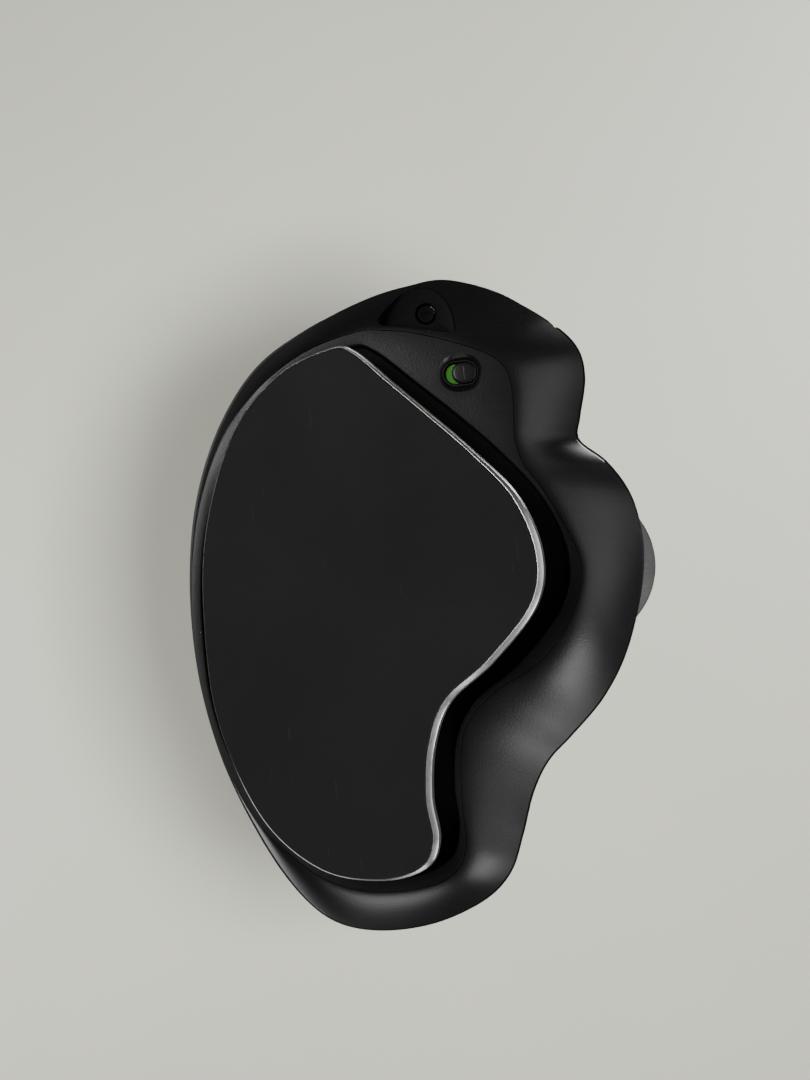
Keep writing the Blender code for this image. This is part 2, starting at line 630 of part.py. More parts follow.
def build_wheel():
    half = WHEEL_WIDTH / 2
    tyre_inner = WHEEL_R - 2.2
    tyre = [(tyre_inner, -half + 0.6), (WHEEL_R - 0.8, -half + 0.2), (WHEEL_R - 0.15, -half + 1.2),
            (WHEEL_R, 0.0), (WHEEL_R - 0.15, half - 1.2), (WHEEL_R - 0.8, half - 0.2),
            (tyre_inner, half - 0.6)]
    turned("wheel_tyre", tyre, WHEEL, (1, 0, 0), "tyre", sides=36)
    bore, hub_r = 1.5, tyre_inner - GAP
    hub = [(bore, -half + 0.2), (4.0, -half + 0.2), (4.6, -half + 1.0), (hub_r - 1.6, -half + 1.0),
           (hub_r - 1.2, -half + 0.4), (hub_r, -half + 0.4), (hub_r, half - 0.4),
           (hub_r - 1.2, half - 0.4), (hub_r - 1.6, half - 1.0), (4.6, half - 1.0),
           (4.0, half - 0.2), (bore, half - 0.2)]
    turned("wheel_hub", hub, WHEEL, (1, 0, 0), "steel", sides=36)
    rod("wheel_axle", WHEEL, 1.2, 12.4, (1, 0, 0), "dark_steel", sides=16)
    pivot = Vector((WHEEL.x, WHEEL.y, CRADLE_PIVOT_Z))
    cradle = box("wheel_cradle", pivot, (12.6, 27.6, 3.0), "frame", origin=pivot)
    cut(cradle, box("cradle_window", pivot, (9.4, 24.6, 6.0)))
    for side in (-1, 1):
        join(cradle, box(f"cradle_ear_{side}", (WHEEL.x + side * 5.5, WHEEL.y, 19.6),
                         (1.6, 5.0, 10.6)),
             rod(f"cradle_pin_{side}", pivot + Vector((0, side * 14.6, 0)), 1.0, 2.6,
                 (0, 1, 0), sides=12))
    cut(cradle, rod("axle_hole", WHEEL, 1.5, 20.0, (1, 0, 0), sides=16))
    box("wheel_encoder", (WHEEL.x + 8.1, WHEEL.y, 19.2), (3.0, 7.0, 6.4), "switch", bevel=0.5)
    carriage = box("wheel_carriage", (WHEEL.x, WHEEL.y, 9.75), (7.0, 32.0, 1.1), "frame")
    for side in (-1, 1):
        join(carriage, box(f"carriage_post_{side}", (WHEEL.x, WHEEL.y + side * 15.5, 12.7),
                           (7.0, 1.9, 6.0)))
    join(carriage, box("carriage_tab", (WHEEL.x, WHEEL.y + 19.6, 14.2), (5.0, 7.4, 1.6)))
    cut(carriage, rod("pin_holes", pivot, 1.3, 40.0, (0, 1, 0), sides=16))


# ---------------------------------------------------------------- electronics and fixings

def micro_switch(name, x, y, low):
    body = box(name, (x, y, low + 3.0), (5.4, 12.0, 6.0), "switch")
    join(body, rod(f"{name}_plunger", (x, y, SWITCH_TOP - 0.7), 0.9, 1.4, (0, 0, 1), sides=12))


def build_electronics(around):
    outline = [(3.0, -51.0), (3.0, -24.6), (17.2, -24.6), (17.2, -13.0), (11.0, -11.0),
               (11.0, 28.0), (-4.0, 36.0), (-28.0, 36.0), (-30.0, 10.0), (-30.0, -28.0),
               (-18.0, -43.0), (-8.0, -51.0)]
    prism("main_board", counter(outline), BOARD_LOW, BOARD_TOP, "board")
    side = [(24.6, -49.0), (30.0, -49.0), (30.4, -40.0), (30.4, -29.0), (24.6, -29.0)]
    prism("side_board", counter(side), BOARD_LOW, BOARD_TOP, "board")
    seat = BOARD_TOP + GAP
    micro_switch("right_switch", *KEY_POSTS["right_key"], seat)
    micro_switch("left_switch", *KEY_POSTS["left_key"], seat)
    box("middle_switch", (WHEEL.x, -21.4, seat + 0.55), (6.0, 5.4, 1.1), "switch")
    box("button_board", (31.5, -41.5, 14.2), (1.0, 17.0, 5.6), "board")
    for name, y in (("forward", -46.0), ("back", -37.6)):
        box(f"{name}_switch", (33.1, y, 14.4), (1.6, 4.0, 3.0), "switch")
    box("console_board", (WHEEL.x, -24.0, 31.4), (8.0, 12.0, 1.0), "board")
    box("mode_switch", (*MODE_CENTRE, 33.6), (4.6, 4.6, 2.8), "switch")
    light_top = roof_height(around, *LIGHT) - 0.2
    rod("light_pipe", (*LIGHT, (32.3 + light_top) / 2), 0.7, light_top - 32.3, (0, 0, 1),
        "lens", sides=12)
    box("precision_board", (24.3, -24.8, 22.4), (6.4, 6.4, 1.0), "board")
    box("precision_switch", (24.9, -24.2, 24.3), (4.0, 4.0, 2.2), "switch")
    box("battery", (-12.0, 14.0, 16.2), (34.0, 24.0, 9.0), "battery", bevel=1.5)
    socket = box("usb_socket", (USB.x, -61.4, USB.z), (8.0, 4.2, 2.6), "steel")
    cut(socket, box("usb_mouth", (USB.x, -62.6, USB.z), (7.0, 5.6, 1.8)))
    box("sensor_cable", (10.9, -3.5, 13.4), (5.4, 4.0, 0.4), "cable",
        turn=Matrix.Rotation(radians(-35), 3, "Y"))


def build_power_switch():
    on_x = SWITCH_SLOT.x + SLIDER_TRAVEL / 2
    prism("power_slider", racetrack((on_x, SWITCH_SLOT.y), *SLIDER_SIZE), 1.1, 3.0, "casing",
          origin=(on_x, SWITCH_SLOT.y, 2.05), bevel=0.3)
    prism("on_off_marker", racetrack(SWITCH_SLOT, 8.4, 5.8), 3.3, 3.7, "green")
    box("slide_switch", (SWITCH_SLOT.x, SWITCH_SLOT.y, 4.9), (9.0, 4.0, 1.4), "switch",
        bevel=0.2)


def screw(name, x, y, head_low):
    """A pan-head casing screw pointing up, with its head in a round well."""
    body = rod(name, (x, y, head_low + 0.6), 1.7, 1.2, (0, 0, 1), "dark_steel", sides=20)
    join(body, rod(f"{name}_shank", (x, y, head_low + 3.4), 0.9, 5.6, (0, 0, 1), sides=12))
    cut(body, box(f"{name}_slot", (x, y, head_low), (2.2, 0.5, 0.8)))
    return (rod(f"{name}_well", (x, y, head_low - 0.8), 2.0, 4.6, (0, 0, 1), sides=20),
            rod(f"{name}_hole", (x, y, head_low + 3.0), 1.2, 9.0, (0, 0, 1), sides=12))


def build_fixings(shell):
    for name, (x, y, low) in SCREWS.items():
        cut(shell, *screw(name, x, y, low))
    for name, (x, y) in MAGNETS.items():
        rod(name, (x, y, POCKET_FLOOR + FLOOR_THICKNESS + GAP + 0.75), 4.0, 1.5, (0, 0, 1),
            "steel", bevel=0.2)


def main():
    around = smooth_loop(STATIONS, SAMPLES)
    build_plate()
    build_hinge()
    shell = build_bottom_shell(around)
    build_roof(around)
    build_ball_seat()
    build_wheel()
    build_electronics(around)
    build_power_switch()
    build_fixings(shell)


main()
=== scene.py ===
"""Looks of the thumb trackball mouse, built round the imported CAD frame.

Everything is drawn in the body frame, in millimetres: the mouse lies flat there and z = 0 is the
plane of the rubber pad. LEAN carries it to the row frame, where the mouse leans over its hinge.
"""

import json
from math import asin, atan2, cos, pi, radians, sin

import bmesh
import bpy
import numpy as np
from mathutils import Matrix, Vector
from mathutils.geometry import delaunay_2d_cdt


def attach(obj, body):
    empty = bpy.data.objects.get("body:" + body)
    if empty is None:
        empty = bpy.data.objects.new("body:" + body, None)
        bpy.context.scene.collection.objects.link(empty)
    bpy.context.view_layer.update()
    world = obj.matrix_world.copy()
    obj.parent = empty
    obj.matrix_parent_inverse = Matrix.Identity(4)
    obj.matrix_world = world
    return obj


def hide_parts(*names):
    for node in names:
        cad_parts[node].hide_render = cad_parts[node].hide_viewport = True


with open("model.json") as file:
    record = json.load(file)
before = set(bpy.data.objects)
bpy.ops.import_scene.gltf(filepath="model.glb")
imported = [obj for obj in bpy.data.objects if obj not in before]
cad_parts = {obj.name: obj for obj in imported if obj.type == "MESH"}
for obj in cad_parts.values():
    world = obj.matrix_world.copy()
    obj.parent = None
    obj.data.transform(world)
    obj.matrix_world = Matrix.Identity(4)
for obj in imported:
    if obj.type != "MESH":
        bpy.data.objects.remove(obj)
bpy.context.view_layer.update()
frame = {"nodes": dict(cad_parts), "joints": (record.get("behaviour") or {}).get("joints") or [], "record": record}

MM = 0.001
JOINTS = {joint["name"]: joint for joint in frame["joints"]}

# ---- driving dimensions

TILT = radians(20.0)
HINGE = Vector(JOINTS["tilt"]["pos_m"]) / MM
LEAN = Matrix.Translation(HINGE) @ Matrix.Rotation(-TILT, 4, "Y") @ Matrix.Translation(-HINGE)

# Casing: how far the skin stays inside the CAD solid, the parting line, the pocket and the walls.
TRIM = 0.05
PARTING_INSET = 0.6
PARTING_GAP = 0.6
FLANK_LIP = 0.25
POCKET_FLOOR = 4.2
INNER_FLOOR = 7.4
WALL_INSET = 2.0

# Plate: its two faces, and a rim that is widest on the side that faces RIM_WIDE_TOWARDS.
PLATE_BOTTOM = 0.3
PLATE_TOP = 2.8
RIM_THIN, RIM_WIDE = 0.3, 1.0
RIM_WIDE_TOWARDS = 0.35

# Roof panels: half the gap between two panels, the wall and the rounding of their edges.
SEAM = 0.25
ROOF_WALL = 1.7
PANEL_FILLET = 0.35

BALL_R = 17.0
BALL_HOLE_R = 17.5
BALL = LEAN.inverted() @ (Vector(JOINTS["ball_roll"]["pos_m"]) / MM)
WHEEL = LEAN.inverted() @ (Vector(JOINTS["wheel_spin"]["pos_m"]) / MM)
WHEEL_R = 11.5
WHEEL_WIDTH = 7.0
PRECISION_R = 2.7
MODE_R = 3.4
SWITCH_SLOT = (14.1, -45.8)
SLIDER_TRAVEL = 1.6
SLIDER_SIZE = (4.9, 4.3)
FRONT_SCREW = (8.5, -59.1)
INNER_SCREWS = ((-32.0, -27.0), (-24.0, 42.0), (-3.0, 45.5), (24.6, -12.0))
SCREW_WELL_R = 2.0
TROUGH_EDGE = -34.4
TROUGH_HALF_LENGTH = 21.8
USB_X, USB_Z = 13.6, 10.0
USB_MOUTH = (8.6, 14.0, 3.2)
LIGHT = (13.6, -28.2)
LIGHT_R = 0.85

# Belt x, y, z; foot x, y; roof fullness and softness at stations round the body. The belt was
# read off the photo, turned into millimetres at each point's depth and adjusted.
STATIONS = np.array([
    (13.5, -66.5, 13.0, 5.0, -54.9, 5.0, 0.50),
    (24.0, -62.8, 13.0, 13.0, -52.2, 5.0, 0.50),
    (33.0, -57.0, 13.5, 19.5, -49.3, 4.6, 0.54),
    (39.4, -50.5, 14.0, 23.2, -45.8, 4.2, 0.58),
    (40.8, -43.5, 14.0, 24.1, -41.0, 3.9, 0.62),
    (38.8, -34.8, 14.0, 23.8, -35.0, 3.6, 0.66),
    (38.2, -30.4, 14.0, 23.7, -31.0, 3.2, 0.72),
    (43.5, -25.2, 14.0, 24.9, -26.0, 2.8, 0.80),
    (47.6, -18.3, 14.0, 28.0, -21.0, 2.5, 0.88),
    (49.2, -10.5, 14.0, 31.3, -14.0, 2.3, 0.92),
    (49.0, -2.8, 14.0, 34.2, -6.0, 2.3, 0.92),
    (46.8, 6.4, 14.0, 33.6, 0.5, 2.3, 0.90),
    (42.8, 16.4, 13.5, 29.5, 8.5, 2.4, 0.86),
    (37.2, 24.6, 13.0, 22.5, 15.2, 2.5, 0.82),
    (30.0, 31.4, 12.5, 14.5, 19.3, 2.6, 0.78),
    (24.7, 36.0, 12.0, 8.2, 24.8, 2.7, 0.74),
    (20.8, 42.0, 11.0, 5.9, 32.0, 2.8, 0.70),
    (17.6, 50.5, 10.0, 5.2, 42.0, 2.9, 0.66),
    (14.2, 58.0, 9.5, 5.0, 50.5, 3.0, 0.62),
    (8.0, 63.2, 9.0, 1.5, 55.8, 3.0, 0.60),
    (-3.0, 66.9, 9.0, -6.0, 57.7, 3.0, 0.60),
    (-15.0, 67.1, 9.0, -16.0, 57.0, 3.0, 0.60),
    (-24.5, 63.6, 9.0, -24.0, 53.8, 3.0, 0.60),
    (-32.0, 55.0, 9.0, -31.0, 47.8, 3.0, 0.60),
    (-38.6, 42.0, 9.5, -37.9, 38.9, 3.0, 0.60),
    (-43.8, 27.0, 10.0, -42.9, 25.2, 3.0, 0.60),
    (-46.6, 10.0, 10.5, -45.5, 9.2, 3.0, 0.60),
    (-46.5, -8.0, 11.0, -45.3, -6.3, 3.1, 0.60),
    (-43.6, -25.0, 11.5, -42.2, -22.8, 3.3, 0.58),
    (-37.5, -40.0, 12.0, -35.9, -37.2, 3.7, 0.56),
    (-28.5, -52.0, 12.5, -27.2, -46.8, 4.2, 0.54),
    (-17.0, -59.2, 13.0, -17.0, -53.2, 4.7, 0.52),
    (-4.0, -64.1, 13.0, -6.0, -56.2, 5.0, 0.50),
    (5.0, -66.0, 13.0, -0.5, -55.9, 5.0, 0.50),
])
POLE = np.array((-2.0, 4.0))

# Height of the crown line at each y, front to rear.
CROWN = np.array([
    (-85.0, 15.0), (-70.0, 21.0), (-55.0, 27.5), (-40.0, 34.5), (-20.0, 43.5), (0.0, 50.0),
    (14.0, 51.4), (30.0, 48.5), (46.0, 41.0), (60.0, 32.0), (75.0, 22.0), (90.0, 12.0),
])

# Plate outline x, y, read off in the same way, and the gap between it and the pocket wall.
PLATE_OUTLINE = np.array([
    (-8.2, -52.4, 0.9), (-3.4, -51.2, 0.9), (3.8, -44.2, 1.1), (11.3, -36.7, 1.3),
    (18.8, -29.0, 1.2), (26.9, -19.2, 0.75), (30.5, -8.0, 1.3), (28.3, 2.0, 1.9),
    (18.3, 12.3, 2.3), (9.0, 19.2, 1.8), (4.8, 27.5, 0.8), (3.2, 37.5, 0.8),
    (3.7, 46.0, 0.45), (0.3, 51.6, 1.3), (-9.2, 53.5, 1.5), (-22.0, 50.7, 1.2),
    (-33.5, 40.0, 1.2), (-40.9, 21.0, 1.5), (-42.1, 2.0, 1.6), (-39.6, -18.5, 1.5),
    (-31.3, -38.0, 1.2), (-20.0, -48.6, 1.0),
])

# The recess in the front of the underside, a straight rear wall closed by one long arc.
MOON = [
    (-1.9, -57.7), (0.6, -60.9), (3.5, -63.4), (6.1, -64.6), (8.7, -64.8), (11.1, -63.6),
    (12.8, -61.5), (13.8, -59.0), (14.1, -56.1), (13.8, -54.3), (6.0, -56.0),
]
MOON_FLOOR = 6.6
MOON_CORNER = 1.6

LEFT_KEY = [(13.6, -72.0), (35.6, -72.0), (35.6, -54.0), (33.2, -51.4), (32.6, -47.0),
            (30.8, -38.0), (26.0, -29.0), (20.4, -20.6), (18.6, -17.4), (18.6, -30.6),
            (18.6, -56.2), (13.6, -56.2)]
RIGHT_KEY = [(13.6, -72.0), (13.6, -56.2), (8.6, -56.2), (8.6, -30.6), (8.6, -16.8),
             (0.0, -17.2), (-10.0, -19.4), (-20.0, -25.0), (-17.0, -42.0), (-12.2, -60.0),
             (-12.2, -72.0)]
CONSOLE = [(8.6, -30.6), (18.6, -30.6), (18.6, -17.4), (13.6, -16.6), (8.6, -16.8)]
FORWARD = [(33.2, -51.4), (38.0, -51.0), (37.4, -40.6), (31.4, -40.6)]
BACK = [(31.8, -40.6), (37.4, -40.6), (36.0, -33.4), (33.4, -29.8), (27.4, -29.8)]
# The outer edge of the keys, side buttons and console together: what the cover leaves free.
KEY_ZONE = (LEFT_KEY[1:4] + FORWARD[1:3] + BACK[2:4] + [(26.4, -29.8)] + LEFT_KEY[7:9]
            + CONSOLE[3:] + RIGHT_KEY[5:])
MODE_CENTRE = (13.6, -23.0)
PRECISION_CENTRE = (26.5, -22.0)


# ---- outlines

def smooth_loop(rows, count):
    """Closed Catmull-Rom curve through the rows, sampled count times."""
    total = len(rows)
    place = np.arange(count) * total / count
    index = place.astype(int)
    t = (place - index)[:, None]
    a, b, c, d = (rows[(index + k) % total] for k in (-1, 0, 1, 2))
    return 0.5 * (2 * b + (c - a) * t + (2 * a - 5 * b + 4 * c - d) * t ** 2
                  + (3 * b - a - 3 * c + d) * t ** 3)


def spaced_loop(loop, count):
    """The closed loop resampled at even spacing."""
    closed = np.vstack([loop, loop[:1]])
    lengths = np.linalg.norm(np.diff(closed, axis=0), axis=1)
    along = np.concatenate([[0.0], np.cumsum(lengths)])
    places = np.linspace(0.0, along[-1], count, endpoint=False)
    return np.stack([np.interp(places, along, closed[:, k]) for k in range(loop.shape[1])], 1)


def outward(loop):
    """Outward unit vectors of a flat loop that runs with its inside on its left."""
    run = np.roll(loop, -1, axis=0) - np.roll(loop, 1, axis=0)
    out = np.stack([run[:, 1], -run[:, 0]], 1)
    return out / np.linalg.norm(out, axis=1)[:, None]


def offset_loop(loop, distance):
    flat = loop[:, :2]
    return flat + outward(flat) * distance


def area_of(loop):
    x, y = loop[:, 0], loop[:, 1]
    return 0.5 * np.sum(x * np.roll(y, -1) - y * np.roll(x, -1))


def rounded_polygon(points, radius, grow=0.0):
    """A polygon grown sideways, with each corner turned into an arc of about the radius."""
    points = np.array(points, float)
    if area_of(points) < 0:
        points = points[::-1]
    before = points - np.roll(points, 1, axis=0)
    before /= np.linalg.norm(before, axis=1)[:, None]
    after = np.roll(before, -1, axis=0)
    out_before = np.stack([before[:, 1], -before[:, 0]], 1)
    out_after = np.stack([after[:, 1], -after[:, 0]], 1)
    middle = out_before + out_after
    middle /= np.linalg.norm(middle, axis=1)[:, None]
    spread = np.maximum(np.sum(middle * out_after, axis=1), 0.4)
    points = points + middle * (grow / spread)[:, None]
    loop = []
    count = len(points)
    for index in range(count):
        here = points[index]
        back = points[index - 1] - here
        ahead = points[(index + 1) % count] - here
        reach = min(radius, 0.45 * np.linalg.norm(back), 0.45 * np.linalg.norm(ahead))
        start = here + back / np.linalg.norm(back) * reach
        end = here + ahead / np.linalg.norm(ahead) * reach
        for t in np.linspace(0.0, 1.0, 7):
            loop.append((1 - t) ** 2 * start + 2 * t * (1 - t) * here + t * t * end)
    return np.array(loop)


def rectangle(half_x, half_y):
    """Corners of a rectangle about the origin, anticlockwise."""
    return [(x * half_x, y * half_y) for x, y in ((-1, -1), (1, -1), (1, 1), (-1, 1))]


def circle(centre, radius, sides=48):
    angle = np.arange(sides) * 2 * pi / sides
    return np.stack([centre[0] + radius * np.cos(angle), centre[1] + radius * np.sin(angle)], 1)


def racetrack(centre, length, width):
    """A slot outline along x with round ends."""
    radius = width / 2
    reach = length / 2 - radius
    return np.array([(centre[0] + side * (reach + radius * cos(angle)),
                      centre[1] + side * radius * sin(angle))
                     for side in (1, -1) for angle in np.linspace(-pi / 2, pi / 2, 15)])


def near_loop(points, loop, reach):
    """Which points lie within reach of the loop's own box."""
    low, high = loop.min(axis=0) - reach, loop.max(axis=0) + reach
    return np.all((points >= low) & (points <= high), axis=1)


def inside(points, loop):
    """Which points lie inside the closed loop."""
    result = np.zeros(len(points), bool)
    near = near_loop(points, loop, 0.0)
    x, y = points[near, 0], points[near, 1]
    found = np.zeros(len(x), bool)
    for (x0, y0), (x1, y1) in zip(loop, np.roll(loop, -1, axis=0)):
        if y1 != y0:
            crosses = (y0 > y) != (y1 > y)
            found ^= crosses & (x < (x1 - x0) * (y - y0) / (y1 - y0) + x0)
    result[near] = found
    return result


FAR = 1e3


def distance_to(points, loop, reach=2.5):
    """Distance from each point to the nearest side of the loop; FAR if clearly over reach."""
    result = np.full(len(points), FAR)
    near = near_loop(points, loop, reach)
    close = points[near]
    best = np.full(len(close), FAR)
    for start, end in zip(loop, np.roll(loop, -1, axis=0)):
        run = end - start
        t = np.clip(((close - start) @ run) / max(run @ run, 1e-12), 0, 1)
        gap = close - (start + t[:, None] * run)
        best = np.minimum(best, gap[:, 0] ** 2 + gap[:, 1] ** 2)
    result[near] = np.sqrt(best)
    return result


AROUND = smooth_loop(STATIONS, 12 * len(STATIONS))


def smooth_step(value):
    value = np.clip(value, 0.0, 1.0)
    return value * value * (3 - 2 * value)


def foot_height(x):
    """The underside sits just off the desk and rises where the tilted body leans over it."""
    return 0.9 + 2.0 * smooth_step((-x - 24.0) / 15.0)


# ---- the roof as a surface

BELT = offset_loop(AROUND, -TRIM)
_rel = BELT - POLE
_angle = np.unwrap(np.arctan2(_rel[:, 1], _rel[:, 0]))


def around_pole(angle, values):
    """A value of the stations at an angle round the pole."""
    table = np.concatenate([values, values, values])
    angles = np.concatenate([_angle - 2 * pi, _angle, _angle + 2 * pi])
    return np.interp(angle, angles, table)


REACH = np.hypot(_rel[:, 0], _rel[:, 1])
EDGE_POWER = 0.8
# The roof falls away from the crown line to the little finger's side and to the thumb's side.
PINKY_START, PINKY_FALL, PINKY_SPREAD = 6.0, 10.0, 38.0
THUMB_START, THUMB_CURVE = 14.0, 0.006


def crown_height(xy):
    x, y = xy[:, 0], xy[:, 1]
    index = np.clip(np.searchsorted(CROWN[:, 0], y, side="left") - 1, 1, len(CROWN) - 3)
    (y0, z0), (y1, z1), (y2, z2), (y3, z3) = (CROWN[index + k].T for k in (-1, 0, 1, 2))
    t = (y - y1) / (y2 - y1)
    rise_in = (z2 - z0) / (y2 - y0) * (y2 - y1)
    rise_out = (z3 - z1) / (y3 - y1) * (y2 - y1)
    middle = (z1 * (2 * t ** 3 - 3 * t ** 2 + 1) + rise_in * (t ** 3 - 2 * t ** 2 + t)
              + z2 * (3 * t ** 2 - 2 * t ** 3) + rise_out * (t ** 3 - t ** 2))
    to_pinky = np.maximum(PINKY_START - x, 0.0) / PINKY_SPREAD
    to_thumb = np.maximum(x - THUMB_START, 0.0)
    return middle - PINKY_FALL * (1 - 1 / (1 + to_pinky ** 2)) - THUMB_CURVE * to_thumb ** 2


def polar(points):
    """Each point's angle round the pole, its distance from it, and the belt's distance there."""
    rel = points - POLE
    angle = np.arctan2(rel[:, 1], rel[:, 0])
    return angle, np.hypot(rel[:, 0], rel[:, 1]), around_pole(angle, REACH)


def to_disc(xy):
    """Plan points to disc points, where even steps are even steps along the roof's skin."""
    _, distance, reach = polar(xy)
    part = distance / reach
    inner = np.arcsin(np.clip(part, 0, 1) ** (1 / EDGE_POWER)) * 2 / pi
    scale = np.where(part < 1, inner, part) / np.maximum(part, 1e-9)
    return POLE + (xy - POLE) * scale[:, None]


def roof_point(disc):
    """Points of the roof's outer face, in the body frame, from disc points."""
    angle, distance, reach = polar(disc)
    level = np.clip(distance / reach, 0, 1)
    part = np.sin(level * pi / 2) ** EDGE_POWER
    flat = POLE + np.stack([np.cos(angle), np.sin(angle)], 1) * (part * reach)[:, None]
    low = around_pole(angle, AROUND[:, 2])
    fullness = around_pole(angle, AROUND[:, 5])
    softness = around_pole(angle, AROUND[:, 6])
    lift = np.maximum(1.0 - part ** fullness, 0.0) ** softness
    return np.column_stack([flat, low + (crown_height(flat) - low) * lift])


def roof_normal(disc, step=0.15):
    across = roof_point(disc + (step, 0)) - roof_point(disc - (step, 0))
    along = roof_point(disc + (0, step)) - roof_point(disc - (0, step))
    normal = np.cross(across, along)
    return normal / np.maximum(np.linalg.norm(normal, axis=1), 1e-9)[:, None]


# ---- mesh helpers

SHARP_ANGLE = 35.0


def add_object(name, points, faces, body, node=None, leaning=True, sharp=SHARP_ANGLE):
    """A mesh piece from points in millimetres; leaning pieces are drawn in the body frame."""
    data = bpy.data.meshes.new(name)
    place = LEAN if leaning else Matrix.Identity(4)
    rotation = np.array(place.to_3x3())
    shift = np.array(place.translation)
    points = (np.asarray(points, float) @ rotation.T + shift) * MM
    data.from_pydata([tuple(point) for point in points], [],
                     [tuple(int(k) for k in face) for face in faces])
    mesh = bmesh.new()
    mesh.from_mesh(data)
    bmesh.ops.remove_doubles(mesh, verts=mesh.verts, dist=1e-7)
    bmesh.ops.dissolve_degenerate(mesh, edges=mesh.edges, dist=1e-7)
    bmesh.ops.recalc_face_normals(mesh, faces=mesh.faces)
    mesh.to_mesh(data)
    mesh.free()
    data.shade_smooth()
    data.set_sharp_from_angle(angle=radians(sharp))
    piece = bpy.data.objects.new(name, data)
    bpy.context.scene.collection.objects.link(piece)
    if body:
        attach(piece, body)
    if node:
        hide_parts(node)
    return piece


def cutter(name, rings):
    """A closed loft of rings of equal count, used to cut and then thrown away."""
    points, faces = loft(rings)
    return add_object(name, points, faces, None)


def band_faces(rows, count, base=0):
    """The quads between neighbouring rings, with base as the first ring's first point."""
    faces = []
    for start in range(base, base + (rows - 1) * count, count):
        for index in range(count):
            after = (index + 1) % count
            faces.append((start + index, start + after, start + count + after,
                          start + count + index))
    return faces


def loft(rings):
    """Points and faces of a closed skin over rings of equal count, with fanned ends."""
    count = len(rings[0])
    points = [np.asarray(ring, float) for ring in rings]
    faces = band_faces(len(rings), count)
    centres = []
    for row in (0, len(rings) - 1):
        number = len(rings) * count + len(centres)
        centres.append(np.mean(points[row], axis=0))
        faces += [(row * count + (index + 1) % count, row * count + index, number)
                  for index in range(count)]
    return np.vstack(points + [np.array(centres)]), faces


def level_ring(loop, z):
    return np.column_stack([loop, np.full(len(loop), z)])


def prism_cutter(name, loop, low, high):
    """A straight cutter."""
    return cutter(name, [level_ring(loop, low), level_ring(loop, high)])


def apply_cuts(piece, cutters):
    """Cuts the piece with every cutter and removes the cutters."""
    for tool in cutters:
        step = piece.modifiers.new(tool.name, "BOOLEAN")
        step.operation = "DIFFERENCE"
        step.solver = "EXACT"
        step.object = tool
    graph = bpy.context.evaluated_depsgraph_get()
    result = bpy.data.meshes.new_from_object(piece.evaluated_get(graph))
    old = piece.data
    piece.modifiers.clear()
    piece.data = result
    result.name = piece.name
    bpy.data.meshes.remove(old)
    for tool in cutters:
        bpy.data.objects.remove(tool, do_unlink=True)
    piece.data.shade_smooth()
    piece.data.set_sharp_from_angle(angle=radians(SHARP_ANGLE))


def turned(name, profile, centre, axis, body, node, sides, wave=None):
    """A closed profile of (radius, height) turned about an axis; wave changes radius by angle."""
    turn = np.array(Vector((0, 0, 1)).rotation_difference(Vector(axis)).to_matrix())
    profile = np.array(profile, float)
    rows, faces = [], []
    count = len(profile)
    for k in range(sides):
        angle = 2 * pi * k / sides
        radius = profile[:, 0] if wave is None else wave(profile, angle)
        local = np.column_stack([radius * cos(angle), radius * sin(angle), profile[:, 1]])
        rows.append(local @ turn.T + np.array(centre))
        following = ((k + 1) % sides) * count
        faces += [(k * count + j, following + j, following + (j + 1) % count,
                   k * count + (j + 1) % count) for j in range(count)]
    return add_object(name, np.vstack(rows), faces, body, node)


def loop_edges(start, count):
    """The edges that join count points to a closed loop."""
    return [(start + k, start + (k + 1) % count) for k in range(count)]


def triangulated(flat, edges, merge):
    """Points and triangles of a flat mesh with these edges, and each point's source or -1."""
    found = delaunay_2d_cdt([Vector(point) for point in flat], edges, [], 0, merge)
    points = np.array([tuple(point) for point in found[0]])
    triangles = np.array([face for face in found[2] if len(face) == 3])
    return points, triangles, [entry[0] if entry else -1 for entry in found[3]]


# ---- roof panels

def even_on_disc(loop, step):
    """The closed plan loop resampled so that its points are evenly spaced on the disc."""
    dense = spaced_loop(loop, max(96, int(loop_length(loop) / 0.12)))
    dense = np.vstack([dense, dense[:1]])
    steps = np.linalg.norm(np.diff(to_disc(dense), axis=0), axis=1)
    along = np.concatenate([[0.0], np.cumsum(np.minimum(steps, 1.0))])
    places = np.linspace(0.0, along[-1], max(24, int(along[-1] / step)), endpoint=False)
    return np.stack([np.interp(places, along, dense[:, k]) for k in range(2)], 1)


# Spacing of a panel's points along its seams and along the belt, the distances that the even
# grid keeps from both, and the depths of the closer rows beside them.
SEAM_STEP, BELT_STEP = 0.45, 0.8
SEAM_CLEAR, BELT_CLEAR = 0.75, 0.7
SEAM_ROWS, BELT_ROWS = (0.08, 0.2, 0.4), (0.2, 0.45)


